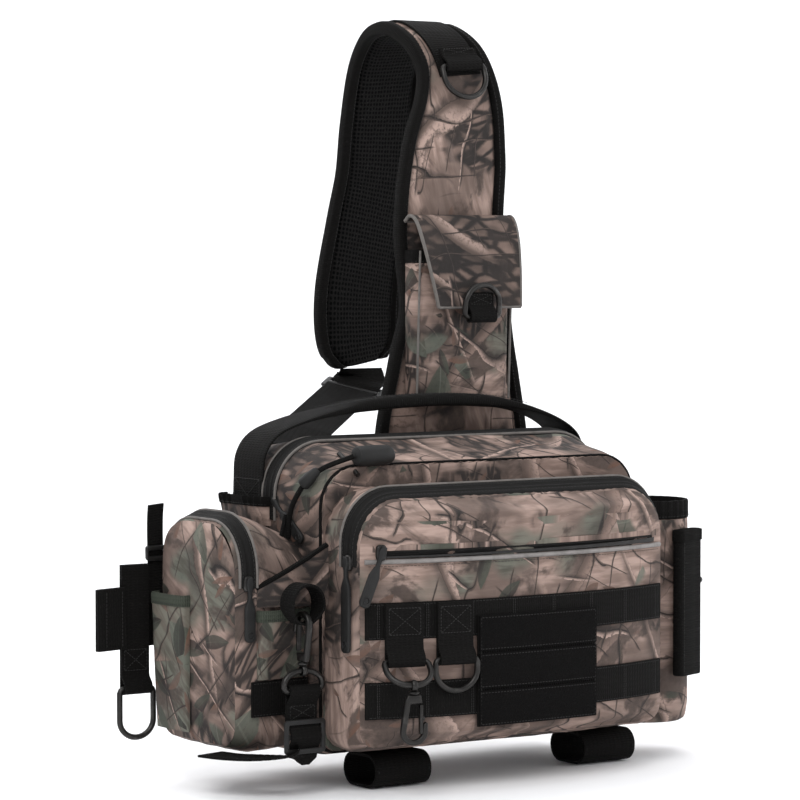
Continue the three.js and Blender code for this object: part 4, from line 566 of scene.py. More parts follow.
# Driving sizes, in bag millimetres
GAP = 0.3  # between pieces that touch
WEBBING = 1.8  # one layer of woven webbing
ZIP_WIDTH = 15
BODY_ZIP_WIDTH = 20
BODY_ZIP_END = 176  # z where the zip runs out
POCKET_ZIP_END = 140
POUCH_ZIP_END = 125
SLIT_HALF = 131
TRIM_LEVEL = 150.8
FOLD_LEVEL = 176.6
ROW_LEVELS = {"lower": 46, "upper": 106}
ROW_HEIGHT = 28
ROW_HALF = 142
BAR_PITCH = 38.1  # between the bar tacks of a webbing row
PATCH = {"low": -53, "high": 61, "bottom": 22.5, "top": 107.5, "pitch": 28.75, "strip": 27.5}
TAB = {"width": 30.5, "length": 44, "rows": (20, 40)}
RING = {"half": 17.8, "drop": 24, "wire": 4.6}
PULLER = 3.2  # thickness
STRAP_STEPS = 180
CROWN_STEPS = 36
CROWN_PART = slice(13, 23)  # steps of the strap that the crown webbing covers
STRAP = {"x": 68, "base": 150, "foot": 206, "rise": 362, "reach": 128, "outer": 4.4, "mesh": 5.0}
BINDING = {"width": 9, "thick": 11.5}
HANDLE = {"y": 32, "width": 43, "grip": 26, "thick": 10, "rise": 27, "run": 60}
BOTTLE = {"radius": 36, "sink": 5, "y": -32.0}
LOOP = {"width": 52, "depth": 45, "drop": 26, "wall": 2.4}

# Section tables: shares of the named sizes above
BODY = {"width": 310, "depth": 129, "height": 237, "back": 67}
POCKET = {"width": 300, "depth": 42, "height": 198, "raise": 6, "bulge": 22, "back": -62.3}
POUCH = {"width": 112, "depth": 65, "height": 179, "raise": 5, "bulge": 6, "centre": 4, "base": -155.3}
BODY_ROWS = [
    (0.0, 0.95, 0.95, 0.015, 0.17, 0.05), (0.05, 0.985, 0.972, 0.0, 0.17, 0.05),
    (0.3, 1.0, 0.99, 0.0, 0.17, 0.05),
    (0.5, 1.0, 1.0, 0.0, 0.17, 0.05), (0.72, 1.0, 0.965, 0.0, 0.16, 0.05),
    (0.95, 0.985, 0.94, 0.0, 0.14, 0.05),
    (1.0, 0.965, 0.925, 0.015, 0.13, 0.05),
]
POCKET_ROWS = [(0.0, 0.99, 1.0, 0.0, 0.2, 0.08), (0.6, 1.0, 1.0, 0.0, 0.2, 0.08),
               (1.0, 0.967, 0.955, 0.02, 0.18, 0.07)]
POUCH_ROWS = [(0.0, 0.93, 0.9, 0.02, 0.2, 0.08), (0.73, 1.0, 1.0, 0.0, 0.23, 0.1),
              (1.0, 0.93, 0.965, 0.03, 0.2, 0.09)]


def row_at(rows, depth):
    table = np.array(rows)
    return [np.interp(depth, table[:, 0], table[:, k]) for k in range(1, 6)]


def outline(rows, size, depth, count=160):
    """Rounded outline at a share of the depth, evenly spaced from the bottom's middle round by the left."""
    side, top, bottom, top_corner, bottom_corner = row_at(rows, depth)
    half = side * size["width"] / 2
    high = top * size["height"]
    low = bottom * size["height"]
    upper = max(top_corner * size["height"], 1)
    lower = max(bottom_corner * size["height"], 1)
    points = [(0.0, low)]
    quarter = np.linspace(0, math.pi / 2, 9)
    points += [(-half + lower - math.sin(t) * lower, low + lower - math.cos(t) * lower) for t in quarter]
    points += [(-half + upper - math.cos(t) * upper, high - upper + math.sin(t) * upper) for t in quarter]
    points += [(-x, z) for x, z in reversed(points[1:])]
    points.append((0.0, low))
    points = np.array([(x, 0.0, z) for x, z in points])
    even, length = polyline(points, count + 1)
    return even[:-1][:, (0, 2)], length


def face_bulge(share, amount):
    return amount * (1 - abs(share) ** 2.5)


def crumple(points, normals, seed, fine, broad):
    """Cloth never lies true: broad dents and fine creases along the normals."""
    moved = []
    for p, n in zip(points, normals):
        at = Vector(p) * 0.011 + Vector((seed, seed * 1.7, -seed))
        dent = noise.noise(at) * broad
        crease = noise.turbulence(Vector((p[0] * 0.03, p[1] * 0.045, p[2] * 0.03)) + Vector((seed, 0,
            0)), 3, False) * fine
        moved.append(np.asarray(p) + np.asarray(n) * (dent + crease))
    return moved


MATERIALS = {}


def material(name):
    """Each finish is made once, when a piece first asks for it."""
    makers = {
        "camo": lambda: camo_material("camo_body"),
        "camo_light": lambda: camo_material("camo_front", bark=0.15, green=0.25, shift=(0.31, 0.12, 0)),
        "camo_strap": lambda: camo_material("camo_strap", bark=0.4, green=0.15, shift=(0.9, 0.44, 0),
                                            turn=1.2),
        "camo_bark": lambda: camo_material("camo_bark", bark=2.2, green=0.0, darken=0.25,
                                           shift=(0.2, 0.7, 0), turn=1.45),
        "camo_pouch": lambda: camo_material("camo_pouch", bark=0.3, green=0.75, shift=(1.7, 0.15, 0),
                                            turn=0.4),
        "leaf": lambda: camo_material("leaf_cloth", bark=0.0, green=2.6, shift=(2.3, 1.15, 0), turn=0.8),
        "webbing": lambda: webbing_material("black_webbing"),
        "binding": lambda: webbing_material("binding", pitch=0.0014, gloss=0.7),
        "leaf_rib": lambda: webbing_material("leaf_rib", tone("leaf"), pitch=0.0017, gloss=0.7),
        "cord": lambda: webbing_material("elastic_cord", pitch=0.0013, gloss=0.6),
        "lining": lambda: tape_material("lining"),
        "mesh": lambda: mesh_material("spacer_mesh"),
        "tape": lambda: tape_material("zip_tape"),
        "piping": lambda: piping_material("piping", tone("piping"), 0.55),
        "reflective": lambda: piping_material("reflective", tone("grey"), 0.38),
        "thread": lambda: piping_material("thread", (0.02, 0.019, 0.018, 1), 0.6),
        "plastic": lambda: moulded_material("moulded_plastic", (0.009, 0.0087, 0.0084, 1), 0.34, 900),
        "rubber": lambda: moulded_material("soft_rubber", (0.0075, 0.0073, 0.007, 1), 0.5, 1400),
        "metal": lambda: metal_material("dark_metal"),
        "fuzz": lambda: fuzz_material("loop_pile"),
    }
    if name not in MATERIALS:
        MATERIALS[name] = makers[name]()
    return MATERIALS[name]


def finish_piece(piece, slot, *nodes):
    if nodes:
        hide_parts(*nodes)
    return piece


def soften(points, rim, seed, fine=0.5, broad=1.2):
    """Crumples a grid along its normals; rim is 0 where a seam holds the cloth, 1 where it is free."""
    sizes = bpy.context.scene.bag_sizes
    fine, broad = fine * sizes.crease, broad * sizes.dent
    points = np.asarray(points, dtype=float)
    du = np.gradient(points, axis=0)
    dv = np.gradient(points, axis=1)
    normal = np.cross(du, dv)
    normal /= np.maximum(np.linalg.norm(normal, axis=2), 1e-9)[..., None]
    rows, columns = points.shape[:2]
    moved = points.copy()
    for i in range(rows):
        for j in range(columns):
            free = rim[i, j]
            if free <= 0:
                continue
            p = points[i, j]
            dent = noise.noise(Vector((p[0] * 0.017 + seed, p[1] * 0.017, p[2] * 0.017))) * broad
            crease = noise.turbulence(Vector((p[0] * 0.035, p[1] * 0.035 + seed, p[2] * 0.05)), 3,
                                      False) * fine
            moved[i, j] += normal[i, j] * (dent - crease) * free
    return moved


def puckers(share, run, depth, pitch=7.0):
    """Small gathers that run away from a seam; share is 0 at the seam."""
    return depth * math.exp(-share * 6) * math.sin(run * 2 * math.pi / pitch + 2 * math.sin(run * 0.11))


def gusset_grid(rows, size, put, depths, count=200):
    """Points and map of a soft box's side wall, with gathers at both seams."""
    points, maps = [], []
    first, last = depths[0], depths[-1]
    for depth in depths:
        ring, length = outline(rows, size, depth, count)
        centre = ring.mean(axis=0)
        line = []
        share = (depth - first) / (last - first)
        near = min(share, 1 - share)
        for k, (x, z) in enumerate(ring):
            out = np.array([x, z]) - centre
            out /= max(np.linalg.norm(out), 1e-6)
            swell = 1.6 * math.sin(math.pi * share) + puckers(near * 2, k * length / count, 0.45)
            line.append(put(x + out[0] * swell, z + out[1] * swell, depth * size["depth"]))
        points.append(line)
        maps.append([(k * length / count, depth * size["depth"]) for k in range(count)])
    return np.array(points), np.array(maps)


def cap_grid(rows, size, put, depth, bulge, count=200):
    """Radial cap that closes a soft box; bulge takes the shares across and up."""
    ring, _ = outline(rows, size, depth, count)
    side, top, bottom, _, _ = row_at(rows, depth)
    half = side * size["width"] / 2
    low, high = bottom * size["height"], top * size["height"]
    middle = np.array([0, (low + high) / 2])
    points, maps = [], []
    for r in np.linspace(1, 0.015, 26):
        line, uv = [], []
        for x, z in middle + (ring - middle) * r:
            across = x / half
            up = (z - low) / (high - low)
            line.append(put(x, z, depth * size["depth"] + bulge(across, up, r)))
            uv.append((x, z))
        points.append(line)
        maps.append(uv)
    return np.array(points), np.array(maps)


def put_body(x, z, depth):
    return (x, BODY["back"] - depth, z)


def put_pocket(x, z, depth):
    return (x, POCKET["back"] - depth, POCKET["raise"] + z)


def put_pouch(across, z, depth):
    return (POUCH["base"] - depth, POUCH["centre"] - across, POUCH["raise"] + z)


def soft_shell(name, rows, size, put, front, back, cloth, seed, count=200, depths=18, fine=0.5, broad=1.2):
    """One closed soft form: side wall, front cap and back cap."""
    shape = Shape()
    points, maps = gusset_grid(rows, size, put, np.linspace(0, 1, depths), count)
    rim = np.ones(points.shape[:2])
    rim[0] = rim[-1] = 0
    rim[1] = rim[-2] = 0.5
    shape.grid(soften(points, rim, seed, fine, broad), maps, closed=True)
    for index, (depth, bulge) in enumerate(((1.0, front), (0.0, back))):
        points, maps = cap_grid(rows, size, put, depth, bulge, count)
        rim = np.ones(points.shape[:2]) * np.clip(np.arange(len(points)) / 4, 0, 1)[:, None]
        shape.grid(soften(points, rim, seed + 3 + index, fine * 1.4, broad * 1.3), maps, closed=True,
                   slot=index)
    return shape.build(name, cloth, smooth=50)


def band_on(rows, size, put, depth_low, depth_high, end, lifts, count=320):
    """Grid of a band that runs over the top of a soft box down to a level on each side.

    lifts lists how far each line across the band stands off the cloth.
    """
    lines = []
    lengths = []
    for k, lift in enumerate(lifts):
        depth = depth_low + (depth_high - depth_low) * k / (len(lifts) - 1)
        ring, length = outline(rows, size, depth, count)
        level = ring[:, 1]
        chosen = [j for j in range(count) if level[j] > end]
        centre = ring.mean(axis=0)
        line = []
        tangent = np.roll(ring, -1, axis=0) - np.roll(ring, 1, axis=0)
        outward = np.stack([-tangent[:, 1], tangent[:, 0]], axis=1)
        outward /= np.linalg.norm(outward, axis=1)[:, None]
        flip = np.sign(((ring - centre) * outward).sum(axis=1))
        outward *= flip[:, None]
        for j in chosen:
            x, z = ring[j] + outward[j] * (lift + 1.6 * math.sin(math.pi * depth))
            line.append(put(x, z, depth * size["depth"]))
        lines.append(line)
        lengths.append(length)
    shortest = min(len(line) for line in lines)
    grids = [polyline(line, shortest)[0] for line in lines]
    maps = [[(k * size["depth"] * (depth_high - depth_low) / (len(lifts) - 1), j * lengths[0] / count)
             for j in range(shortest)] for k in range(len(lifts))]
    return np.array(grids), np.array(maps)


def zip_band(name, rows, size, put, low, high, end, nodes, piped=(1, -2)):
    """Zip tape with its covered coil, and piping along the edges that are named."""
    lifts = [-0.6, 0.7, 1.1, 1.0, 1.0, 1.7, 0.9, 0.5, 0.9, 1.7, 1.0, 1.0, 1.1, 0.7, -0.6]
    points, maps = band_on(rows, size, put, low, high, end, lifts)
    shape = Shape()
    shape.grid(points, maps)
    piece = finish_piece(shape.build(name, [material("tape")]), "zip_tape", *nodes)
    edges = Shape()
    for k in piped:
        tube(edges, polyline(points[k], 220)[0], bpy.context.scene.bag_sizes.piping_radius * 1000, 7)
    finish_piece(edges.build(name + "_piping", [material("piping")]), "reflective_tape")
    seams = Shape()
    outward = np.gradient(points, axis=1)
    for k in (3, -4):
        line = points[k]
        across = points[k + 1] - points[k - 1]
        normal = np.cross(outward[k], across)
        normal /= np.linalg.norm(normal, axis=1)[:, None]
        middle = line.mean(axis=0)
        normal *= np.sign(((line - middle) * normal).sum(axis=1).mean())
        stitches(seams, line, normal, 3.2, 2.3, 0.25)
    finish_piece(seams.build(name + "_stitches", [material("thread")]), "black_webbing")
    return piece


def make_body():
    flat = lambda across, up, r: 2.5 * (1 - r ** 3)
    hidden = lambda across, up, r: 0.0
    piece = soft_shell("bag_body", BODY_ROWS, BODY, put_body, flat, hidden,
                       [material("camo"), material("camo")], 1.0,
                       count=240, depths=26)
    finish_piece(piece, "camo_cloth", "main_body")
    share = BODY_ZIP_WIDTH / 2 / BODY["depth"]
    zip_band("main_zip_band", BODY_ROWS, BODY, put_body, 0.5 - share, 0.5 + share, BODY_ZIP_END,
             ["main_zip"])
    rim = Shape()
    for depth in (0.985, 0.02):
        ring, _ = outline(BODY_ROWS, BODY, depth, 260)
        line = [put_body(x * 1.003, z, depth * BODY["depth"]) for x, z in ring]
        line.append(line[0])
        tube(rim, line, 1.3, 7)
    finish_piece(rim.build("body_rim_binding", [material("binding")]), "black_webbing")


FACE_HALF = POCKET_ROWS[2][1] * POCKET["width"] / 2


def pocket_y(x, z, lift=0.0):
    """The stuffed face's front, with a fuller upper part and a soft sag at the slit."""
    share = max(-1.0, min(1.0, x / FACE_HALF))
    rise = (z - POCKET["raise"]) / POCKET["height"]
    edge = min(max((rise - 0.02) / 0.05, 0), 1) * min(max((0.955 - rise) / 0.055, 0), 1)
    edge = edge * edge * (3 - 2 * edge)
    swell = face_bulge(share, POCKET["bulge"]) * edge
    pillow = 2.2 * math.sin(math.pi * min(max((rise - 0.74) / 0.22, 0), 1)) * (1 - share ** 4)
    dip = -0.8 * math.exp(-((rise - 0.735) / 0.02) ** 2) * (1 - share ** 4)
    return POCKET["back"] - POCKET["depth"] - swell - pillow - dip - lift


def make_pocket():
    shape = Shape()
    points, maps = gusset_grid(POCKET_ROWS, POCKET, put_pocket, np.linspace(0, 1, 14), 240)
    rim = np.ones(points.shape[:2])
    rim[0] = rim[-1] = 0
    shape.grid(soften(points, rim, 5.0, 0.5, 0.8), maps, closed=True)
    ring, _ = outline(POCKET_ROWS, POCKET, 1.0, 240)
    middle = np.array([0, POCKET["height"] * 0.49])
    rows, uvs = [], []
    for r in np.linspace(1, 0.01, 60):
        line = middle + (ring - middle) * r
        rows.append([(x, pocket_y(x, z + POCKET["raise"])
                      if r < 1 else POCKET["back"] - POCKET["depth"], z + POCKET["raise"])
                     for x, z in line])
        uvs.append([(x, z) for x, z in line])
    points = np.array(rows)
    rim = np.ones(points.shape[:2]) * np.clip(np.arange(len(points)) / 5, 0, 1)[:, None]
    shape.grid(soften(points, rim, 8.0, 1.0, 1.1), uvs, closed=True, slot=1)
    piece = shape.build("front_pocket_shell", [material("camo"), material("camo_light")], smooth=50)
    finish_piece(piece, "camo_cloth", "front_pocket")
    low = POCKET_ROWS[1][0]
    high = low + ZIP_WIDTH / POCKET["depth"]
    zip_band("front_zip_band", POCKET_ROWS, POCKET, put_pocket, low, high, POCKET_ZIP_END,
             ["front_zip"], piped=(1,))
    make_face_trim()


def on_face(low_x, high_x, level, lift, count=90):
    """Points along the face at one height."""
    return [(x, pocket_y(x, level, lift), level) for x in np.linspace(low_x, high_x, count)]


def face_band(shape, low_x, high_x, profile, count=120):
    """A sheet on the pocket's face; profile lists height and lift round its section."""
    xs = np.linspace(low_x, high_x, count)
    points = [[(x, pocket_y(x, level, lift), level) for level, lift in profile] for x in xs]
    maps = [[(level + lift, x) for level, lift in profile] for x in xs]
    shape.grid(points, maps, closed=True)
    for index in (0, -1):
        line = np.array(points[index])
        inner = line.mean(axis=0) + (line - line.mean(axis=0)) * 0.02
        shape.grid([line, inner], np.zeros((2, len(line), 2)), closed=True)
    return shape


def band_profile(level, height, lift, thickness, crown=0.25):
    half = height / 2
    return [(level - half, lift), (level - half, lift + thickness * 0.6),
            (level - half + 0.6, lift + thickness),
            (level, lift + thickness * (1 + crown)), (level + half - 0.6, lift + thickness),
            (level + half, lift + thickness * 0.6), (level + half, lift)]


def make_face_trim():
    slit = Shape()
    face_band(slit, -SLIT_HALF, SLIT_HALF,
              [(153, 0.2), (153.3, 1.3), (154.6, 1.5), (155.0, 0.5), (157.4, 0.5), (157.8, 1.5),
               (158.8, 1.3), (159.2, 0.2)])
    finish_piece(slit.build("slit_zip_tape", [material("tape")]), "zip_tape", "slit_zip")
    mouth = Shape()
    xs = np.linspace(-128, 133, 90)
    lids = []
    for x in xs:
        open_by = 1.2 + 2.2 * ((x + 128) / 261) ** 1.5
        lids.append([(x, pocket_y(x, z, lift), z)
                     for z, lift in ((153.4, 1.5), (153.6, 2.2), (153.6 + open_by, 2.3),
                                     (153.8 + open_by, 1.5))])
    mouth.grid(lids, [[(z, x) for z in range(4)] for x in xs], closed=True)
    finish_piece(mouth.build("slit_mouth", [material("thread")]), "zip_tape")
    lip = Shape()
    section_sweep(lip, [(x, pocket_y(x, 160.8, 0.3), 160.8) for x in np.linspace(-136, 138, 90)],
                  (0, 0, 1), [(2.4, 0), (1.6, 1.3), (0, 1.9), (-1.8, 1.9), (-2.6, 1.1), (-2.7, 0)])
    finish_piece(lip.build("slit_flap", [material("camo_light")]), "camo_cloth")
    trim = Shape()
    tube(trim, on_face(-ROW_HALF, ROW_HALF, TRIM_LEVEL, 0.9, 120), 1.9, 10)
    finish_piece(trim.build("reflective_piping", [material("reflective")]), "reflective_tape",
                 "reflective_trim")
    fold = Shape()
    section_sweep(fold, [(x, pocket_y(x, FOLD_LEVEL, -0.2), FOLD_LEVEL + 0.8 * math.sin(x * 0.05))
                         for x in np.linspace(-138, 138, 110)],
                  (0, 0, 1), [(3.2, 0), (1.8, 0.8), (-0.6, 1.5), (-2.2, 1.3), (-2.8, 0.2)])
    finish_piece(fold.build("upper_fold", [material("camo_light")]), "camo_cloth")
    for name, level in ROW_LEVELS.items():
        row = Shape()
        face_band(row, -ROW_HALF, ROW_HALF, band_profile(level, ROW_HEIGHT, 1.0, 1.7, 0.1), count=160)
        piece = row.build(f"webbing_{name}", [material("webbing")])
        finish_piece(piece, "black_webbing", f"webbing_row_{name}")
    bars = Shape()
    for level in ROW_LEVELS.values():
        for x in np.arange(-133, 140, BAR_PITCH):
            for offset in (-0.9, 0.9):
                path = [(x + offset, pocket_y(x, z, 2.9), z)
                        for z in np.linspace(level - 12.5, level + 12.5, 14)]
                stitches(bars, path, (0, -1, 0), 1.9, 1.5, 0.28)
        for side in (-1, 1):
            stitches(bars, on_face(-140, 140, level + side * 12.6, 2.95), (0, -1, 0), 3.0, 2.1, 0.24)
    stitches(bars, on_face(-140, 140, 147.4, 1.8), (0, -1, 0), 3.0, 2.2, 0.2)
    finish_piece(bars.build("face_stitches", [material("thread")]), "black_webbing")
    make_patch()


def make_patch():
    """Three loop strips over a webbing backing, with stitched edges."""
    low, high, strip = PATCH["low"], PATCH["high"], PATCH["strip"]
    bases = [PATCH["bottom"] + k * PATCH["pitch"] for k in range(3)]
    backing = Shape()
    profile = [(PATCH["bottom"], 3.0), (PATCH["bottom"], 4.2), (PATCH["top"], 4.2), (PATCH["top"], 3.0)]
    face_band(backing, low, high, profile, count=50)
    finish_piece(backing.build("patch_backing", [material("webbing")]), "black_webbing", "patch_panel")
    pile = Shape()
    for base in bases:
        face_band(pile, low + 0.6, high - 0.6,
                  band_profile(base + strip / 2, strip - 0.4, 4.3, 1.9, 0.15), count=80)
    finish_piece(pile.build("patch_loop_strips", [material("fuzz")]), "black_webbing")
    seams = Shape()
    for base in bases:
        for level in (base + 1.8, base + strip - 1.8):
            stitches(seams, on_face(low + 2, high - 2, level, 6.15, 40), (0, -1, 0), 2.8, 2.0, 0.26)
    for x in (low + 1.8, high - 1.8):
        stitches(seams, [(x, pocket_y(x, z, 6.1), z) for z in np.linspace(24, 106, 40)], (0, -1, 0),
                 2.8, 2.0, 0.26)
    finish_piece(seams.build("patch_stitches", [material("thread")]), "black_webbing")


class Seat:
    """Local axes in bag millimetres: x across, y towards the bag, z up."""

    def __init__(self, origin, x=(1, 0, 0), z=(0, 0, 1)):
        self.origin = np.asarray(origin, dtype=float)
        self.x = np.asarray(x, dtype=float) / np.linalg.norm(x)
        self.z = np.asarray(z, dtype=float) / np.linalg.norm(z)
        self.y = np.cross(self.z, self.x)

    def __call__(self, points):
        points = np.asarray(points, dtype=float)
        return self.origin + points[..., :1] * self.x + points[..., 1:2] * self.y + points[...,
            2:3] * self.z

    def shifted(self, x=0.0, y=0.0, z=0.0):
        return Seat(self((x, y, z)), self.x, self.z)


def made(shape, name, finish, slot, *nodes, body="bag", smooth=40.0):
    return finish_piece(shape.build(name, [material(finish)], body=body, smooth=smooth), slot, *nodes)


def hoop(shape, points, across, section):
    """Sweep round a closed run of points; across is the constant direction of the section's first value."""
    points = np.asarray(points, dtype=float)
    across = np.asarray(across, dtype=float)
    along = np.roll(points, -1, axis=0) - np.roll(points, 1, axis=0)
    along /= np.linalg.norm(along, axis=1)[:, None]
    out = np.cross(across, along)
    rings = [p + np.asarray(section)[:, :1] * across + np.asarray(section)[:, 1:] * o
             for p, o in zip(points, out)]
    rings.append(rings[0])
    run = np.linspace(0, 1, len(rings)) * np.linalg.norm(np.diff(points, axis=0), axis=1).sum()
    maps = [[(side + 0.3 * lift, at) for side, lift in section] for at in run]
    return shape.grid(rings, maps, closed=True)


def lathe(shape, seat, profile, sides=28):
    """Turns a profile of radius and height round the seat's z axis."""
    turns = np.linspace(0, 2 * math.pi, sides, endpoint=False)
    rows = [seat([(math.cos(t) * radius, math.sin(t) * radius, up) for t in turns])
            for radius, up in profile]
    maps = [[(radius * t, up) for t in turns] for radius, up in profile]
    return shape.grid(rows, maps, closed=True)


def plate(name, seat, outlines, thickness, bevel, finish, slot, *nodes, body="bag"):
    """A flat outline in the seat's xz plane, extruded along y with rounded edges."""
    curve = bpy.data.curves.new(name, "CURVE")
    curve.dimensions = "2D"
    curve.fill_mode = "BOTH"
    curve.extrude = thickness / 2 - bevel
    curve.bevel_depth = bevel
    curve.bevel_resolution = 2
    curve.offset = -bevel
    for line in outlines:
        run = curve.splines.new("POLY")
        run.points.add(len(line) - 1)
        for point, (x, z) in zip(run.points, line):
            point.co = (x, z, 0, 1)
        run.use_cyclic_u = True
    drawn = bpy.data.objects.new(name + "_outline", curve)
    bpy.context.scene.collection.objects.link(drawn)
    view = bpy.context.evaluated_depsgraph_get()
    view.update()
    mesh = bpy.data.meshes.new_from_object(drawn.evaluated_get(view))
    bpy.data.objects.remove(drawn)
    shape = Shape()
    shape.points = [tuple(p) for p in seat([(v.co.x, -v.co.z, v.co.y) for v in mesh.vertices])]
    shape.faces = [list(face.vertices) for face in mesh.polygons]
    shape.uvs = [[(0.0, 0.0)] * len(face) for face in shape.faces]
    shape.slots = [0] * len(shape.faces)
    bpy.data.meshes.remove(mesh)
    return made(shape, name, finish, slot, *nodes, body=body, smooth=32.0)


def rounded(width, height, corner, steps=5, middle=(0.0, 0.0)):
    """Points of a rounded rectangle."""
    points = []
    for k, (sx, sz) in enumerate(((1, -1), (1, 1), (-1, 1), (-1, -1))):
        for t in np.linspace(-math.pi / 2, 0, steps) + k * math.pi / 2:
            points.append((middle[0] + sx * (width / 2 - corner) + math.cos(t) * corner,
                           middle[1] + sz * (height / 2 - corner) + math.sin(t) * corner))
    return points


def d_ring(name, seat, half, drop, node, body="bag"):
    """Wire bent to a D, its bar along the seat's x axis."""
    radius = RING["wire"] / 2
    corner = radius * 1.1
    top = max(drop - half * 0.9, corner * 2)
    path = [(x, 0, 0) for x in np.linspace(-half + corner * 1.3, half - corner * 1.3, 9)]
    path += [(half - corner * 0.4, 0, -corner * 0.4), (half, 0, -corner * 1.3)]
    path += [(math.cos(t) * half, 0, -top - math.sin(t) * (drop - top))
             for t in np.linspace(0, math.pi, 29)]
    path += [(-half, 0, -corner * 1.3), (-half + corner * 0.4, 0, -corner * 0.4)]
    shape = Shape()
    hoop(shape, seat(path), seat.y, round_section(radius, 12))
    return made(shape, name, "metal", "dark_metal", node, body=body)


def eye_tab(name, seat, width, length, node, rows=None):
    """Webbing folded round a ring's bar and sewn to itself."""
    thick = WEBBING
    eye = RING["wire"] / 2 + 0.5
    mid = eye + thick / 2
    path = [(0, mid, length), (0, mid, length * 0.6), (0, mid, length * 0.25), (0, mid, 1.5)]
    path += [(0, math.cos(t) * mid, math.sin(t) * mid) for t in np.linspace(0, -math.pi, 13)]
    path += [(0, -mid * 0.8, mid * 0.9), (0, mid - thick * 1.4, mid * 2.3), (0, mid - thick, mid * 3.2)]
    path += [(0, mid - thick, z) for z in np.linspace(mid * 3.6, length - 0.6, 6)]
    shape = Shape()
    section_sweep(shape, seat(path), seat.x, strap_section(width, thick))
    piece = made(shape, name, "webbing", "black_webbing", node)
    low, high = rows or (mid * 3.2, length - 2.5)
    seam = Shape()
    box_stitch(seam, seat, low, high, width / 2 - 2.6, mid - thick * 1.5)
    made(seam, name + "_stitches", "thread", "black_webbing")
    return piece


def box_stitch(shape, seat, low, high, half, y):
    """A sewn box with its cross, facing the seat's -y."""
    corners = [(-half, low), (half, low), (half, high), (-half, high)]
    pairs = [(0, 1), (1, 2), (2, 3), (3, 0), (0, 2), (1, 3)]
    for a, b in pairs:
        ends = np.array([corners[a], corners[b]])
        line = [ends[0] * (1 - t) + ends[1] * t for t in np.linspace(0, 1, 8)]
        stitches(shape, seat([(x, y, z) for x, z in line]), -seat.y, 2.4, 1.8, 0.26, lift=0.15)


def swivel(name, seat, node, body="bag"):
    shape = Shape()
    turns = np.linspace(0, 2 * math.pi, 28, endpoint=False)
    loop = seat([(0, math.cos(t) * 3.65, math.sin(t) * 3.65) for t in turns])
    hoop(shape, loop, seat.x, [(math.cos(t) * 2.1, math.sin(t) * 0.85)
                               for t in np.linspace(0, 2 * math.pi, 12, endpoint=False)])
    lathe(shape, seat, [(0.02, -3.9), (3.1, -4.0), (4.1, -4.7), (4.2, -5.6), (3.4, -6.5), (1.3, -6.6),
                        (1.3, -9.8), (0.02, -9.9)], 24)
    return made(shape, name, "metal", "dark_metal", node, body=body)


HOOK = {"length": 38, "width": 21.5, "thick": 4.6, "bar": 4.2}


def hook_outline():
    half = HOOK["width"] / 2
    bar = HOOK["bar"]
    bow = half - bar
    level = -(HOOK["length"] - half)
    points = [(half * 0.5, 0), (-half * 0.5, 0), (-half * 0.62, -bar * 0.7), (-half * 0.7, -bar * 1.4),
              (-half, level)]
    points += [(math.cos(t) * half, level + math.sin(t) * half)
               for t in np.linspace(math.pi, 2 * math.pi, 19)[1:]]
    points += [(half, level * 0.78), (half - 1.4, level * 0.755), (bow + 0.9, level * 0.81), (bow, level)]
    points += [(math.cos(t) * bow, level + math.sin(t) * bow) for t in np.linspace(0, -math.pi, 17)[1:]]
    points += [(-bow * 0.45, -bar * 1.6), (half * 0.6, -bar * 1.5)]
    return points


def snap_hook(name, seat, node, body="bag"):
    return plate(name, seat, [hook_outline()], HOOK["thick"], 1.15, "metal", "dark_metal", node, body=body)


def hook_gate(name, seat, body="bag", *nodes):
    """Sprung tongue, drawn down from its pivot end, with a thumb knob."""
    end = -20.6
    half = 1.3
    outline = [(-half, 0.8), (-0.5, 1.3), (0.5, 1.3), (half, 0.8), (half, end), (-half, end)]
    plate(name, seat, [outline], HOOK["thick"] * 0.8, 0.5, "metal", "dark_metal", *nodes, body=body)
    knob = Shape()
    lathe(knob, Seat(seat((half - 0.3, 0, end * 0.45)), seat.z, seat.x),
          [(0.02, 1.9), (1.1, 1.8), (1.6, 1.2), (1.6, 0.3), (1.2, -0.4)], 14)
    made(knob, name + "_knob", "metal", "dark_metal", body=body)


def make_tabs():
    left = Seat((-115.0, -121.14, 76.0), (0.969, -0.245, 0))
    eye_tab("tab_one", left, TAB["width"], TAB["length"], "tab_left", rows=TAB["rows"])
    d_ring("ring_one", Seat(left.origin, left.x, (0.179, 0.709, 0.682)), RING["half"], RING["drop"],
           "tab_ring_left", body="left_ring")
    swivel("snap_swivel", Seat((-119.3, -138.16, 59.63), left.x), "front_swivel", body="swivel")
    snap_hook("snap_hook", Seat((-119.3, -138.16, 52.73), left.x), "front_hook", body="hook")
    hook_gate("snap_gate", Seat((-113.79, -139.55, 44.08), left.x), "gate", "front_hook_gate")
    right = Seat((-73.5, -129.29, 76.0), (0.990, -0.142, 0))
    eye_tab("tab_two", right, TAB["width"], TAB["length"], "tab_right", rows=TAB["rows"])
    d_ring("ring_two", right, RING["half"], RING["drop"], "tab_ring_right", body="right_ring")


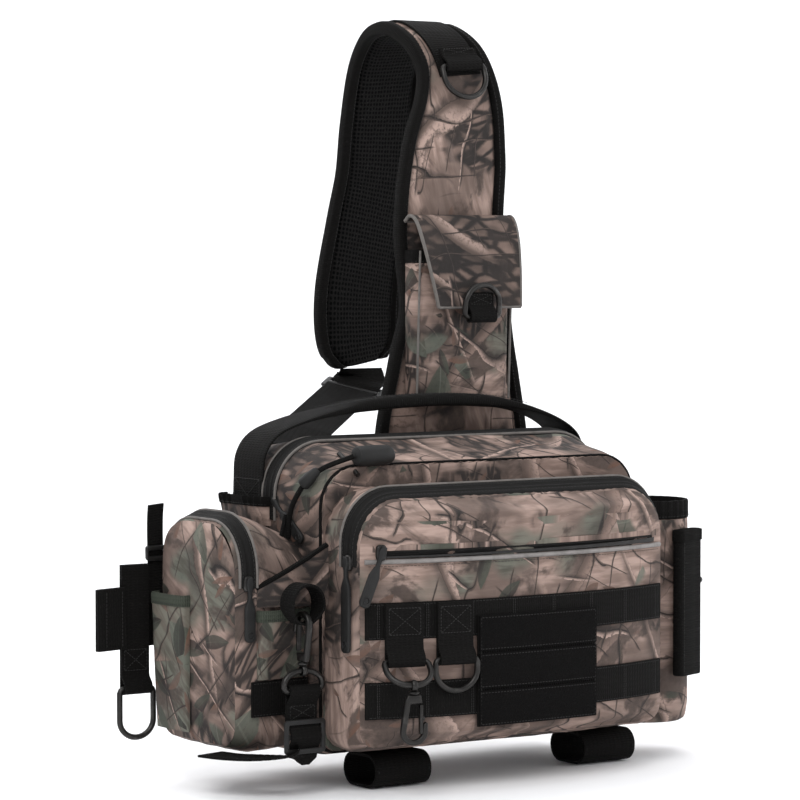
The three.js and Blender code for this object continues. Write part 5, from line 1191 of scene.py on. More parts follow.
def puller(name, seat, length, width, node, lean=0.0):
    """Flat moulded puller with a round dimple near its tip, hanging from a metal slider."""
    curl = math.radians(lean)
    half = width / 2
    edge = [(2, 5), (3.4, 0), (1.8, -6), (1.7, -11), (half * 0.72, -15), (half, -19)]
    tip = [(half, -length + half * 0.7), (half * 0.8, -length + half * 0.25), (half * 0.4, -length),
           (0, -length)]
    side = edge + tip
    line = [(-2, 5)] + side + [(-x, z) for x, z in reversed(side[1:-1])]
    turned = [(x * math.cos(curl) - z * math.sin(curl), x * math.sin(curl) + z * math.cos(curl))
              for x, z in line]
    plate(name, seat, [turned], PULLER, 1.1, "rubber", "soft_rubber", node)
    at = Seat(seat.origin, seat.x * math.cos(curl) + seat.z * math.sin(curl),
              seat.z * math.cos(curl) - seat.x * math.sin(curl))
    trim = Shape()
    turns = np.linspace(0, 2 * math.pi, 20, endpoint=False)
    middle = half * 1.15 - length
    hoop(trim, at([(math.cos(t) * width * 0.27, -1.6, middle + math.sin(t) * width * 0.27)
                   for t in turns]), at.y, round_section(0.5, 8))
    lathe(trim, Seat(at((0, -1.5, middle)), at.x, at.y),
          [(0.02, 0.1), (width * 0.18, 0.05), (width * 0.2, -0.4)], 20)
    made(trim, name + "_grip", "rubber", "soft_rubber")
    plate(name + "_slider", seat.shifted(y=2.1), [rounded(8.6, 12, 3.0)], 3.6, 1.1, "metal", "dark_metal")


def patch(name, seat, size, finish, slot, node, ripple=0.0, ripples=8, rim="binding", rim_height=8.0,
          seed=2.0, shift=(0, 0)):
    """Pocket on a flat wall, open at the top: size is width, height, mouth and base."""
    width, height, mouth, base = size
    power = 0.5
    turns = np.linspace(math.pi, 0, 81)
    side = np.sign(np.cos(turns)) * np.abs(np.cos(turns)) ** power
    lift = np.abs(np.sin(turns)) ** power

    def line(up, inset, extra=0.0):
        share = min(up / height, 1.0)
        depth = base + (mouth - base) * share - inset + extra
        wave = ripple * share ** 2 * np.sin(side * ripples * math.pi) * lift
        belly = 0.8 * math.sin(math.pi * share) * lift
        return np.stack([side * (width / 2 - inset + extra), -(depth * lift + wave + belly),
                         np.full(len(side), up)], axis=1)

    ups = np.linspace(0, height, 26)
    outer = np.array([line(up, 0.0) for up in ups])
    rim_free = np.ones(outer.shape[:2]) * (np.abs(side) < 0.93)[None, :]
    rim_free[0] = rim_free[-1] = 0
    outer = soften(outer, rim_free, seed, 0.35, 0.5)
    floor = outer[0].copy()
    floor[:, 1] = 0.0
    inner = np.array([line(up, 1.5) for up in ups[::-1]])
    run = np.concatenate([[0], np.cumsum(np.linalg.norm(np.diff(outer[-1], axis=0), axis=1))])
    rows = [floor, *outer, *inner[:-2]]
    levels = [-2, *ups, *(2 * height - ups[::-1][:-2])]
    maps = [[(x + shift[0], z + shift[1]) for x in run] for z in levels]
    shape = Shape()
    shape.grid([seat(row) for row in rows], maps)
    piece = made(shape, name, finish, slot, node, smooth=55)
    binding = Shape()
    offsets = [(height - rim_height, 0.05), (height - rim_height, 0.8),
               (height - rim_height * 0.5, 1.0), (height - 0.6, 0.9), (height + 0.7, 0.2)]
    band = [line(up, 0.0, extra) for up, extra in offsets]
    band += [line(height + 0.6, 1.6, 0.0), line(height - rim_height, 1.9, 0.0)]
    lengths = [-rim_height, -rim_height, -rim_height * 0.5, 0, 1, 2, rim_height]
    binding.grid([seat(row) for row in band], [[(z, x) for x in run] for z in lengths])
    made(binding, name + "_rim", rim, "black_webbing" if rim == "binding" else slot)
    seam = Shape()
    stitches(seam, seat(line(height - rim_height + 1.4, 0.0, 0.95)[6:-6]), -seat.y, 2.8, 2.0, 0.22)
    made(seam, name + "_stitches", "thread", "black_webbing")
    return piece


def make_pouch():
    bulge = lambda across, up, r: POUCH["bulge"] * (1 - abs(across) ** 2.5) * (1 - max(0,
        2 * up - 1) ** 8) * (1 - max(0, 1 - 2 * up) ** 8)
    hidden = lambda across, up, r: 0.0
    piece = soft_shell("pouch_shell", POUCH_ROWS, POUCH, put_pouch, bulge, hidden,
                       [material("camo_pouch"), material("camo_pouch")],
                       11.0, count=160, depths=18, fine=0.6, broad=0.9)
    finish_piece(piece, "camo_cloth", "side_pouch")
    low = POUCH_ROWS[1][0]
    high = low + ZIP_WIDTH / POUCH["depth"]
    zip_band("pouch_zip_band", POUCH_ROWS, POUCH, put_pouch, low, high, POUCH_ZIP_END, ["pouch_zip"])
    front = Seat((-180.3, -50.9, 61.0), (0.997, 0.082, 0))
    patch("pouch_slip_front", front, (47, 52, 9, 3), "leaf", "leaf_cloth", "pouch_front_slip",
          rim="leaf_rib", seed=3.3)
    outer = Seat((-226.6, 29.0, 17.0), (0, -1, 0))
    patch("pouch_slip_side", outer, (46, 104, 9, 3), "leaf", "leaf_cloth", "pouch_side_slip",
          rim="leaf_rib", seed=5.3, shift=(310, 90))
    band = Seat((-156.2, -48.53, 0), (0.997, 0.082, 0))
    shape = Shape()
    path = band([(x, -0.9 - 0.6 * math.sin((x + 53) / 53 * math.pi), 46.5)
                 for x in np.linspace(-53, 0, 14)])
    section_sweep(shape, path, (0, 0, 1), strap_section(27, 1.8))
    made(shape, "pouch_lower_band", "webbing", "black_webbing", "pouch_band")
    seam = Shape()
    for z in (34.6, 58.4):
        stitches(seam, band([(x, -2.2, z) for x in np.linspace(-52, -1, 12)]), -band.y, 2.8, 2.0, 0.24)
    made(seam, "pouch_band_stitches", "thread", "black_webbing")
    puller("pouch_slider", Seat((-210.25, -53.6, 134.0)), 44, 9, "pouch_zip_puller")
    make_wing()


def make_wing():
    """Triangular ear of cloth between pouch and front pocket, rolled along its upper edge."""
    a, b = np.array((-203.75, -53.3)), np.array((-150.3, -70.3))
    rows, maps = [], []
    for v in np.linspace(0, 1, 16):
        line, uv = [], []
        for u in np.linspace(0, 1, 30):
            x, y = a * (1 - u) + b * u
            z = 116 + v * (14 * (1 - u) + 46 * u)
            fold = 2.2 * math.sin(math.pi * u) * (0.4 + v) - 1.2 * math.exp(-((v - 1) / 0.12) ** 2)
            line.append((x, y - fold, z))
            uv.append((u * 56 + 900, z + 200))
        rows.append(line)
        maps.append(uv)
    front = np.array(rows)
    rim = np.ones(front.shape[:2])
    rim[:, 0] = rim[:, -1] = 0
    front = soften(front, rim, 14.0, 0.5, 0.8)
    back = front + np.array((0, 1.8, 0))
    shape = Shape()
    shape.grid(front, maps)
    shape.grid(back, maps, flip=True)
    loop = lambda g: [*g[0], *g[1:, -1], *g[-1][::-1][1:], *g[::-1, 0][1:]]
    edge = [loop(front), loop(back)]
    shape.grid(edge, np.zeros((2, len(edge[0]), 2)))
    made(shape, "pouch_ear", "camo_bark", "camo_cloth", "pouch_wing", smooth=50)
    roll = Shape()
    section_sweep(roll, front[-1] + np.array((0, 0.9, 0.2)), (0, 1, 0), strap_section(4.6, 2.6))
    made(roll, "ear_binding", "binding", "black_webbing")


def make_side_pocket():
    seat = Seat((-155.3, 33.0, 172.0), (0, -1, 0))
    patch("elastic_slip", seat, (66, 22, 11, 6), "camo", "camo_cloth", "side_elastic_pocket",
          ripple=1.3, ripples=9, rim_height=7.0, seed=7.7)


def tape_run(name, points, widthwards, width, node, count=50):
    """A strap along a polyline with its corners softened."""
    run, _ = smooth_run(points, count, 2)
    shape = Shape()
    section_sweep(shape, run, widthwards, strap_section(width, WEBBING))
    return made(shape, name, "webbing", "black_webbing", node)


def slide_plate(name, seat, width, node):
    """Three-bar slide: a frame with two slots."""
    inner = width + 1.6
    bar, high = 4.0, 26.0
    slot_height = (high - bar * 3) / 2
    lines = [rounded(inner + bar * 2, high, bar * 0.75)]
    for side in (-1, 1):
        lines.append(rounded(inner, slot_height, 0.6, 3, (0, side * (bar + slot_height) / 2))[::-1])
    plate(name, seat, lines, 2.4, 0.8, "plastic", "moulded_plastic", node)


def threaded(centre, along, front):
    """Points of webbing behind, over and behind a three-bar slide."""
    bar, slot_height, lift = 4.0, 7.0, 2.4
    end = bar + slot_height
    shares = [-end - bar / 2, -end + bar / 2, -bar / 2, bar / 2, end - bar / 2, end + bar / 2]
    sides = [-1, -1, 1, 1, -1, -1]
    return [np.asarray(centre) + np.asarray(along) * s + np.asarray(front) * side * lift
            for s, side in zip(shares, sides)]


def make_side_chain():
    down = Seat((-178.0, -77.0, 54.0), (-1, 0, 0), (0, 0, -1))
    d_ring("chain_ring", down, 17, 15, "side_ring")
    eye_tab("chain_tab", down, 27, 24, "side_tab", rows=(11.5, 22))
    up = Seat((-178.0, -77.0, 69.0), (-1, 0, 0), (0, 0, -1))
    swivel("chain_swivel", up, "side_swivel")
    hook = Seat((-178.0, -77.0, 75.9), (0, 1, 0), (0, 0, -1))
    snap_hook("chain_hook", hook, "side_hook")
    hook_gate("chain_gate", hook.shifted(5.68, 0, -8.65))
    loop = Seat((-178.0, -77.0, 104.15))
    shape = Shape()
    turns = np.linspace(0, 2 * math.pi, 44, endpoint=False)
    rings, maps = [], []
    for k, t in enumerate([*turns, 0.0]):
        middle = np.array((math.sin(t) * 14, 0, (1 - math.cos(t)) * 15))
        out = np.array((-math.sin(t), 0, math.cos(t)))
        pinch = min(max((1 - math.cos(t) - 0.1) / 0.8, 0), 1)
        half = 5.75 + (9 - 5.75) * pinch * pinch * (3 - 2 * pinch)
        section = strap_section(half * 2, 1.8)
        rings.append([loop(middle + np.array((0, side, 0)) + out * lift) for side, lift in section])
        maps.append([(side, k * 2.1) for side, _ in section])
    shape.grid(rings, maps, closed=True)
    made(shape, "chain_loop", "webbing", "black_webbing", "side_loop")
    slide_plate("chain_slide", Seat((-178.0, -79.4, 19.6)), 27, "side_slide")
    points = threaded((-178, -79.4, 19.6), (0, 0, -1), (0, -1, 0))
    points += [np.array(p) for p in ((-184, -75, 4.8), (-204, -65, 3.8), (-222, -49, 3.8),
                                     (-228, -25, 3.8))]
    tape_run("chain_webbing", points, (1, 0, 0), 27, "side_webbing", count=70)


def make_rear_straps():
    y = 68.2
    waist = [(-96, y, 104), (-155, y, 104), (-265, y, 100), (-273, y - 1.6, 100), (-275, y - 4, 100),
             (-273, y - 6.4, 100), (-251, y - 7, 101)]
    shape = Shape()
    run, _ = smooth_run(waist, 90, 2)
    section_sweep(shape, run, (0, 0, 1), strap_section(48, 1.8))
    made(shape, "waist_stub", "webbing", "black_webbing", "waist_strap")
    seam = Shape()
    for x in (-268, -254):
        stitches(seam, [(x, y - 8.1, z) for z in np.linspace(79, 122, 12)], (0, -1, 0), 2.8, 2.0, 0.26)
    made(seam, "waist_stitches", "thread", "black_webbing")
    seat = Seat((-241.0, 61.5, 46.0))
    eye_tab("hanger_tab", seat, 25, 96, "hanger_webbing", rows=(14, 30))
    d_ring("hanger_loop", seat, 15, 38, "hanger_ring", body="hanging_ring")
    keeper = [(-220.6, 66.1, 111), (-220.6, 66.1, 135), (-224.8, 60.5, 174.2), (-226.2, 56.3, 188.2)]
    tape_run("keeper", keeper, (1, 0, 0), 14, "keeper_strap")
    clip = Seat((-222.5, 62.0, 150), (1, 0, 0), (-0.1, -0.14, 0.98))
    plate("keeper_clip", clip, [rounded(19, 12, 2.5), rounded(14.6, 5, 1.0)[::-1]], 3.4, 1.0, "plastic",
          "moulded_plastic")


def make_bottle_pocket():
    """Round cup sewn into the side, its gathered elastic mouth and the sheath in front."""
    radius = BOTTLE["radius"]
    wall = BODY["width"] / 2 + GAP
    centre = np.array((wall + radius - BOTTLE["sink"], BOTTLE["y"], 0))
    turns = np.linspace(0, 2 * math.pi, 120, endpoint=False)

    def ring(reach, up, ripple=0.0, count=22):
        wave = ripple * np.sin(turns * count)
        points = np.stack([np.cos(turns) * (reach + wave), np.sin(turns) * (reach + wave),
                           np.full(len(turns), up)], axis=1)
        points = points + centre
        points[:, 0] = np.maximum(points[:, 0], wall + 0.2)
        return points

    profile = [(0.5, 0.2), (20, 0), (30.6, 0.2), (33.4, 1.6), (34.8, 4.2), (35.4, 8)]
    profile += [(radius + 0.5 * math.sin(z / 15), z)
                for z in np.linspace(14, 150, 22)] + [(35.9, 158), (35.6, 165.7)]
    inner = [(33.8, 165.6), (33.9, 120), (33.7, 60), (33.0, 10), (31.0, 3.4), (18, 2.2), (0.5, 2.2)]
    rows = [ring(r, z, 0.35 * max(0, (z - 135) / 30)) for r, z in profile] + [ring(r, z) for r, z in inner]
    points = np.array(rows)
    rim = np.ones(points.shape[:2])
    rim[:3] = rim[len(profile) - 1:] = 0
    rim[:, np.cos(turns) < -0.8] = 0
    outer = soften(points, rim, 21.0, 0.5, 0.9)
    run = np.concatenate([[0], np.cumsum(np.linalg.norm(np.diff(points[:, 60], axis=0), axis=1))])
    maps = [[(t * radius + 500, v) for t in turns] for v in run]
    shape = Shape()
    shape.grid(outer, maps, closed=True)
    made(shape, "bottle_cup", "camo_light", "camo_cloth", "bottle_pocket", smooth=50)
    band = [(34.4, 165.9), (35.6, 166.2), (36.2, 167.6), (36.0, 173.5), (36.1, 179.2), (35.4, 181.0),
            (33.6, 181.0), (33.2, 178), (33.0, 170), (33.2, 166.2), (34.4, 165.9)]
    shape = Shape()
    rows = [ring(r, z, 0.55, 30) for r, z in band]
    shape.grid(rows, [[(z, t * radius) for t in turns] for _, z in band], closed=True)
    made(shape, "bottle_mouth", "binding", "black_webbing", "bottle_band", smooth=50)
    seam = Shape()
    base = ring(36.15, 168.2, 0.55, 30)
    chosen = [k for k in range(len(turns)) if math.cos(turns[k]) > -0.75]
    middle = len(turns) // 2
    order = sorted(chosen, key=lambda k: (k + middle) % len(turns))
    line = base[order]
    normal = (line - centre) * np.array((1, 1, 0))
    normal /= np.linalg.norm(normal, axis=1)[:, None]
    stitches(seam, line, normal, 3.0, 2.1, 0.24)
    made(seam, "bottle_stitches", "thread", "black_webbing")
    make_sheath()


def make_sheath():
    seat = Seat((200.43, -70.81, 98.5), (0.94, 0.342, 0))
    half = 59.5
    outer = rounded(33, 10, 4.2, 6)
    inside = rounded(29.8, 6.8, 2.5, 6)
    rows = [seat([(x * s, y * s, -half + lift) for x, y in outer])
            for s, lift in ((0.02, 0), (0.93, 0), (1.0, 0.9))]
    rows += [seat([(x, y, z) for x, y in outer]) for z in np.linspace(-half + 4, half - 0.8, 22)]
    rows += [seat([(x * 0.96, y * 0.93, half) for x, y in outer])]
    rows += [seat([(x, y, z) for x, y in inside]) for z in (half, half - 1, 0, -half + 2.5)]
    rows += [seat([(x * 0.02, y * 0.02, -half + 2.5) for x, y in inside])]
    outline_run = np.linspace(0, 80, len(outer))
    maps = [[(u, k * 5.4) for u in outline_run] for k in range(len(rows))]
    shape = Shape()
    shape.grid(rows, maps, closed=True)
    made(shape, "sheath", "webbing", "black_webbing", "tool_sheath", smooth=50)
    edge = Shape()
    hoop(edge, seat([(x * 1.03, y * 1.06, half - 5) for x, y in outer]), seat.z, strap_section(9, 1.2))
    made(edge, "sheath_rim", "binding", "black_webbing")
    seam = Shape()
    for x in (-12.6, 12.6):
        stitches(seam, seat([(x, -5.05, z) for z in np.linspace(-half + 3, half - 10, 24)]), -seat.y,
                 3.0, 2.2, 0.26)
    made(seam, "sheath_stitches", "thread", "black_webbing")
    stud = Seat((218.56, -64.21, 115.0), (0, 0, 1), (0.94, 0.342, 0))
    shape = Shape()
    lathe(shape, stud, [(0.02, -2.5), (3.4, -2.4), (3.4, -1.2), (2.7, 0.4), (2.5, 1.6), (1.7, 2.4),
                        (0.02, 2.6)], 22)
    made(shape, "sheath_knob", "plastic", "moulded_plastic", "sheath_stud")


def make_belt_loops():
    for name, x, y in (("left", -89.0, -60.0), ("right", 118.0, -52.0)):
        seat = Seat((x, y, -13.3))
        line = rounded(LOOP["depth"] - LOOP["wall"], LOOP["drop"] - LOOP["wall"], 11.2, 9)
        points = seat([(0, u, w) for u, w in line])
        shape = Shape()
        hoop(shape, points, seat.x, strap_section(LOOP["width"], 2.3))
        made(shape, f"belt_band_{name}", "webbing", "black_webbing", f"belt_loop_{name}")
        seam = Shape()
        for dx in (-23.4, 23.4):
            stitches(seam, seat([(dx, u, -13.1) for u in np.linspace(-10, 10, 6)]), -seat.z, 2.6, 1.9, 0.26)
            stitches(seam, seat([(dx, -22.55, w) for w in np.linspace(-1.5, 1.5, 4)]), -seat.y, 2.6,
                     1.9, 0.26)
        made(seam, f"belt_stitches_{name}", "thread", "black_webbing")


HANDLE_TABLE = [
    (-1.0, -1.0, 1, 0), (-1.0, -0.55, 1, 0), (-0.985, -0.18, 1, 0), (-0.9, 0.08, 1, 0),
    (-0.72, 0.24, 0.96, 0.1),
    (-0.5, 0.34, 0.8, 0.5), (-0.28, 0.41, 0.62, 1), (0.1, 0.45, 0.6, 1), (0.42, 0.42, 0.62, 1),
    (0.62, 0.34, 0.8, 0.5),
    (0.8, 0.2, 0.96, 0.1), (0.93, 0.02, 1, 0), (0.99, -0.2, 1, 0), (1.0, -0.55, 1, 0), (1.0, -1.0, 1, 0),
]


def make_handle():
    """Webbing from side to side, doubled and wrapped where the hand holds it."""
    reach = BODY["width"] / 2 + GAP + WEBBING * 0.75
    crest = HANDLE_TABLE[7][1]
    table = spline(HANDLE_TABLE, 120)
    lift = lambda rise: rise / crest * HANDLE["rise"] if rise > 0 else rise * HANDLE["run"]
    points = [(side * reach, HANDLE["y"], BODY["height"] + lift(rise)) for side, rise, _, _ in table]
    shape = Shape()

    def section(share):
        _, _, wide, roll = table[int(round(share * 120))]
        half = max(HANDLE["width"] * wide, HANDLE["grip"]) / 2
        roll = min(max(roll, 0), 1)
        thick = 2.5 + (HANDLE["thick"] - 2.5) * roll
        power = 0.55 - 0.25 * (1 - roll)
        turns = np.linspace(0, 2 * math.pi, 20, endpoint=False)
        return [(np.sign(math.cos(t)) * abs(math.cos(t)) ** power * half,
                 np.sign(math.sin(t)) * abs(math.sin(t)) ** (power if roll > 0.3 else 0.5) * thick / 2)
                 for t in turns]

    section_sweep(shape, points, (0, 1, 0), section)
    made(shape, "handle", "webbing", "black_webbing", "carry_handle", smooth=50)
    seam = Shape()
    run = np.array(points)
    grip = run[40:82]
    for dy in (-7.0, 7.0):
        stitches(seam, grip + np.array((0, dy, 5.0)), (0, 0, 1), 3.2, 2.3, 0.3)
    for side in (-1, 1):
        end = Seat((side * (reach + 0.2), HANDLE["y"], BODY["height"] - HANDLE["run"]), (0, side, 0))
        box_stitch(seam, end, 4, 30, 17.5, -1.35)
    made(seam, "handle_stitches", "thread", "black_webbing")


STRAP_TABLE = [
    (0.0, 0.0, 0.0, 1.0), (0.088, 0.0, 0.0, 0.99), (0.232, 0.0, 0.01, 0.85), (0.365, 0.0, 0.02, 0.72),
    (0.541, 0.0, -0.02, 0.71),
    (0.702, 0.0, 0.013, 0.68), (0.812, 0.01, 0.05, 0.58), (0.895, 0.05, 0.05, 0.5),
    (0.956, 0.15, 0.025, 0.475),
    (0.992, 0.32, 0.01, 0.47), (1.0, 0.48, 0.015, 0.475), (0.978, 0.67, 0.035, 0.485),
    (0.909, 0.84, 0.06, 0.5),
    (0.785, 0.95, 0.08, 0.52), (0.66, 0.99, 0.075, 0.53), (0.539, 1.0, 0.025, 0.55),
    (0.392, 1.0, -0.035, 0.575),
    (0.293, 1.0, -0.04, 0.56), (0.25, 1.0, -0.03, 0.47), (0.227, 1.0, -0.02, 0.34),
]
STRAP_Y = BODY["back"] + GAP + BINDING["thick"] / 2


def strap_frames(count):
    table = spline(STRAP_TABLE, count)
    middle = [STRAP["x"] + table[:, 2] * STRAP["base"], STRAP_Y + table[:, 1] * STRAP["reach"],
              STRAP["foot"] + table[:, 0] * STRAP["rise"]]
    points = np.stack(middle, axis=1)
    along, across, out = frames(points, (1, 0, 0))
    return points, along, across, out, table[:, 3] * STRAP["base"] / 2


def make_strap():
    """Padded strap: printed face, mesh lining and a folded binding along each edge."""
    points, _, across, out, half = strap_frames(STRAP_STEPS)
    run = np.concatenate([[0], np.cumsum(np.linalg.norm(np.diff(points, axis=0), axis=1))])
    core = half - BINDING["width"] - GAP
    for name, sign, thick, finish, slot, node, pad in (
        ("strap_face", 1, STRAP["outer"], "camo_strap", "camo_cloth", "strap_outer", 1.3),
        ("strap_lining", -1, STRAP["mesh"], "mesh", "spacer_mesh", "strap_mesh", 1.0),
    ):
        sides = np.linspace(-1, 1, 33)
        rows, maps = [], []
        for i in range(len(points)):
            line = []
            for s in sides:
                lift = 0.15 + thick * (1 - abs(s) ** 8) + pad * (1 - s * s)
                line.append(points[i] + across[i] * s * core[i] + out[i] * sign * lift)
            rows.append(line)
            maps.append([(s * core[i] + 400, run[i]) for s in sides])
        grid = np.array(rows)
        rim = np.ones(grid.shape[:2]) * (np.abs(sides) < 0.97)[None, :]
        rim[0] = rim[-1] = 0
        grid = soften(grid, rim, 31.0 if sign > 0 else 37.0, 0.45, 0.8)
        shape = Shape()
        shape.grid(grid, maps)
        flat = np.array([[points[i] + across[i] * s * core[i] + out[i] * sign * 0.15 for s in sides]
                         for i in range(len(points))])
        shape.grid(flat, maps, flip=True)
        for index in (0, -1):
            shape.grid([grid[index], flat[index]], np.array(maps)[[index, index]])
        piece = made(shape, name, finish, slot, node, smooth=60)
    for name, side in (("left", -1), ("right", 1)):
        centre = points + across * (side * (half - BINDING["width"] / 2))[:, None]
        shape = Shape()
        turns = np.linspace(0, 2 * math.pi, 18, endpoint=False)
        section = [(np.sign(math.cos(t)) * abs(math.cos(t)) ** 0.6 * BINDING["width"] / 2,
                    np.sign(math.sin(t)) * abs(math.sin(t)) ** 0.6 * BINDING["thick"] / 2) for t in turns]
        rings = [centre[i] + np.array(section)[:, :1] * across[i] + np.array(section)[:, 1:] * out[i]
                 for i in range(len(points))]
        shape.grid(rings, [[(a + b, r) for a, b in section] for r in run], closed=True)
        for index in (0, -1):
            ring = np.array(rings[index])
            shape.grid([ring, ring.mean(axis=0) + (ring - ring.mean(axis=0)) * 0.02],
                       np.zeros((2, len(ring), 2)), closed=True)
        made(shape, f"strap_edge_{name}", "binding", "black_webbing", f"strap_binding_{name}", smooth=50)
    seam = Shape()
    for side in (-1, 1):
        for sign in (1, -1):
            line = points + across * (side * (half - 7.2))[:, None] + out * sign * 5.6
            stitches(seam, line, out * sign, 3.2, 2.3, 0.28)
    made(seam, "strap_stitches", "thread", "black_webbing")
    make_rear_webbing(points[-1])
    make_top_tab()


def unit(v):
    v = np.asarray(v, dtype=float)
    return v / np.linalg.norm(v)


def make_rear_webbing(end):
    start = end + np.array((0, 0, -4.5))
    bend = start + np.array((0, 0, -9))
    sewn = 68.2
    finish = np.array((-88, sewn + 5.4, 232.26))
    along = unit(finish - bend)
    across = unit(np.array((1, 0, 0)) - along * along[0])
    front = unit(np.cross(across, along))
    centre = bend + along * 23.4 + front * 2.4
    points = [start, start + np.array((0, 0, -3)), bend, *threaded(centre, along, front),
              centre + along * 26 - front * 2.4, finish,
              (finish[0] - 3.6, sewn + 0.9, finish[2] - 24.3), (finish[0] - 5.4, sewn, finish[2] - 54)]
    run, _ = smooth_run(points, 130, 1)
    wide = np.array([(1.0, 0, 0) if p[2] > bend[2] + 2 or p[2] < finish[2] - 6 else tuple(across)
                     for p in run])
    for _ in range(6):
        wide[1:-1] = (wide[:-2] + wide[1:-1] + wide[2:]) / 3
    shape = Shape()
    section_sweep(shape, run, wide, strap_section(42, 1.8))
    made(shape, "rear_strap", "webbing", "black_webbing", "rear_webbing")
    facing = Seat(centre, across, -along)
    slide_plate("rear_buckle", facing, 42, "rear_slide")


def make_top_tab():
    points, _, across, out, _ = strap_frames(CROWN_STEPS)
    lift = STRAP["outer"] + 2.25
    line = points[CROWN_PART] + out[CROWN_PART] * lift
    wide = across[CROWN_PART]
    run, _ = smooth_run(line, 60, 2)
    old = np.linspace(0, 1, len(wide))
    new = np.linspace(0, 1, len(run))
    spread = np.stack([np.interp(new, old, wide[:, k]) for k in range(3)], axis=1)
    shape = Shape()
    section_sweep(shape, run, spread, strap_section(42, 1.8))
    made(shape, "crown_webbing", "webbing", "black_webbing", "top_webbing")
    seat = Seat((75.35, 68.33, 535.73), (0.998, 0.016, 0.058), (-0.061, 0.269, 0.961))
    eye_tab("crown_tab", seat, 36, 16, "top_tab", rows=(9, 15))
    d_ring("crown_loop", seat, 21, 27, "top_ring", body="crown_ring")


FLAP_TABLE = [(0.0, 0.0, 1.0), (-0.06, 0.3, 1.0), (0.0, 0.62, 0.98), (0.22, 0.86, 0.93),
              (0.55, 0.97, 0.82), (0.8, 1.0, 0.73), (1.0, 1.0, 0.66)]


def make_phone_pocket():
    seat = Seat((66.0, 67.0, 262.0))
    patch("phone_holder", seat, (98, 122, 17, 11.9), "camo", "camo_cloth", "phone_pocket",
          rim_height=10, seed=9.1, shift=(140, 410))
    edge = Shape()
    for side in (-1, 1):
        line = [(66 + side * 46.4, 67 - 11.9 - 5.1 * v - 0.4, 262 + 122 * v) for v in np.linspace(0, 1, 20)]
        tube(edge, line, 1.0, 7)
    made(edge, "phone_edges", "piping", "reflective_tape")
    table = spline(FLAP_TABLE, 60)
    front = 73.05 - 0.15 - 4.4 - 0.3
    path = np.array([(66.0, front - 1.2 - 1.2 - forward * 23, 262 + 122 + 24 - drop * 70)
                     for drop, forward, _ in table])
    along, across, out = frames(path, (1, 0, 0))
    sides = np.linspace(0, 1, 33)
    left = table[:, 2]
    run = np.concatenate([[0], np.cumsum(np.linalg.norm(np.diff(path, axis=0), axis=1))])
    top, low, maps = [], [], []
    for i in range(len(path)):
        xs = -50 * left[i] + (50 + 50 * left[i]) * sides
        puff = 0.9 * np.sin(np.pi * sides) ** 0.5
        top.append([path[i] + (x, 0, 0) + out[i] * (1.0 + p) for x, p in zip(xs, puff)])
        low.append([path[i] + (x, 0, 0) - out[i] * 1.0 for x in xs])
        maps.append([(x + 700, run[i] + 300) for x in xs])
    top = np.array(top)
    rim = np.ones(top.shape[:2])
    rim[-1] = 0
    rim[:, 0] = rim[:, -1] = 0
    top = soften(top, rim, 41.0, 0.4, 0.6)
    shape = Shape()
    shape.grid(top, maps)
    shape.grid(np.array(low), maps, flip=True)
    made(shape, "phone_cover", "camo_bark", "camo_cloth", "phone_flap", smooth=60)
    border = Shape()
    top_edges = [(top[:, 0] + np.array(low)[:, 0]) / 2, (top[:, -1] + np.array(low)[:, -1]) / 2,
                 (top[-1] + np.array(low)[-1]) / 2, (top[0] + np.array(low)[0]) / 2]
    for line in top_edges:
        tube(border, line, 1.5, 8)
    made(border, "phone_cover_edge", "piping", "reflective_tape")
    tab = Seat((72.0, 36.9, 330.0))
    eye_tab("cover_tab", tab, 26, 20, "flap_tab", rows=(10.5, 18))
    d_ring("cover_loop", Seat(tab.origin, (1, 0, 0), (0, 0.087, -0.996)), 17, 26, "flap_ring",
           body="cover_ring")


def make_cord():
    """Elastic cord over the bag's corner with its cone stop, barrel toggle and bar."""
    path = spline([(-161.5, -31, 165), (-161.5, -36, 188), (-155, -46, 208), (-144, -54, 219),
                   (-123, -64, 227.8)], 60)
    shape = Shape()
    tube(shape, path, 2.1, 12)
    for k in range(2):
        end = path[0] + np.array((-2.0 - 2.5 * k, 1.5, 4.0))
        tail = spline([end + (3, -1, 14), end + (0.6, 0, 2), end + (-3 - 3 * k, -2.5, -14),
                       end + (-9 - 6 * k, -5, -27 - 8 * k)], 24)
        tube(shape, tail, 1.7, 10)
    made(shape, "bungee", "cord", "soft_rubber", "bungee_cord")
    cone_seat = Seat(path[34], unit(np.cross(path[40] - path[28], (0, 1, 0.2))), unit(path[40] - path[28]))
    stop = Shape()
    lathe(stop, cone_seat, [(1.9, -9), (4.0, -8.6), (5.2, -7), (4.8, 0), (3.6, 7), (2.3, 9), (1.9, 9)], 24)
    made(stop, "cord_stop", "rubber", "soft_rubber")
    barrel = Seat((-104.5, -64.0, 227.8), (0, 0, 1), (1, 0, 0))
    shape = Shape()
    profile = [(0.02, -17), (5.2, -17), (6.8, -16.2), (7.6, -14.0), (8.0, -6), (8.0, 8), (7.2, 13.5),
               (5.6, 16.2), (3.6, 17), (0.02, 17)]
    lathe(shape, barrel, profile, 36)
    made(shape, "toggle", "rubber", "soft_rubber", "cord_toggle")
    bar = Shape()
    tube(bar, polyline([(-119, -38, 228.5), (-119.6, -50, 222.5), (-120.6, -66, 213.5)], 12)[0], 2.0, 12)
    made(bar, "toggle_bar", "metal", "dark_metal")


def make_pullers():
    puller("main_slider", Seat((-156.9, -6.5, 190.0), (0, -1, 0)), 46, 9, "main_zip_puller", lean=54)
    puller("front_slider", Seat((-151.3, -95.0, 150.0), (0, -1, 0)), 68, 10.5, "front_zip_puller")
    puller("slit_slider", Seat((-131.0, -114.1, 158.0)), 44, 9.5, "slit_puller", lean=-24)


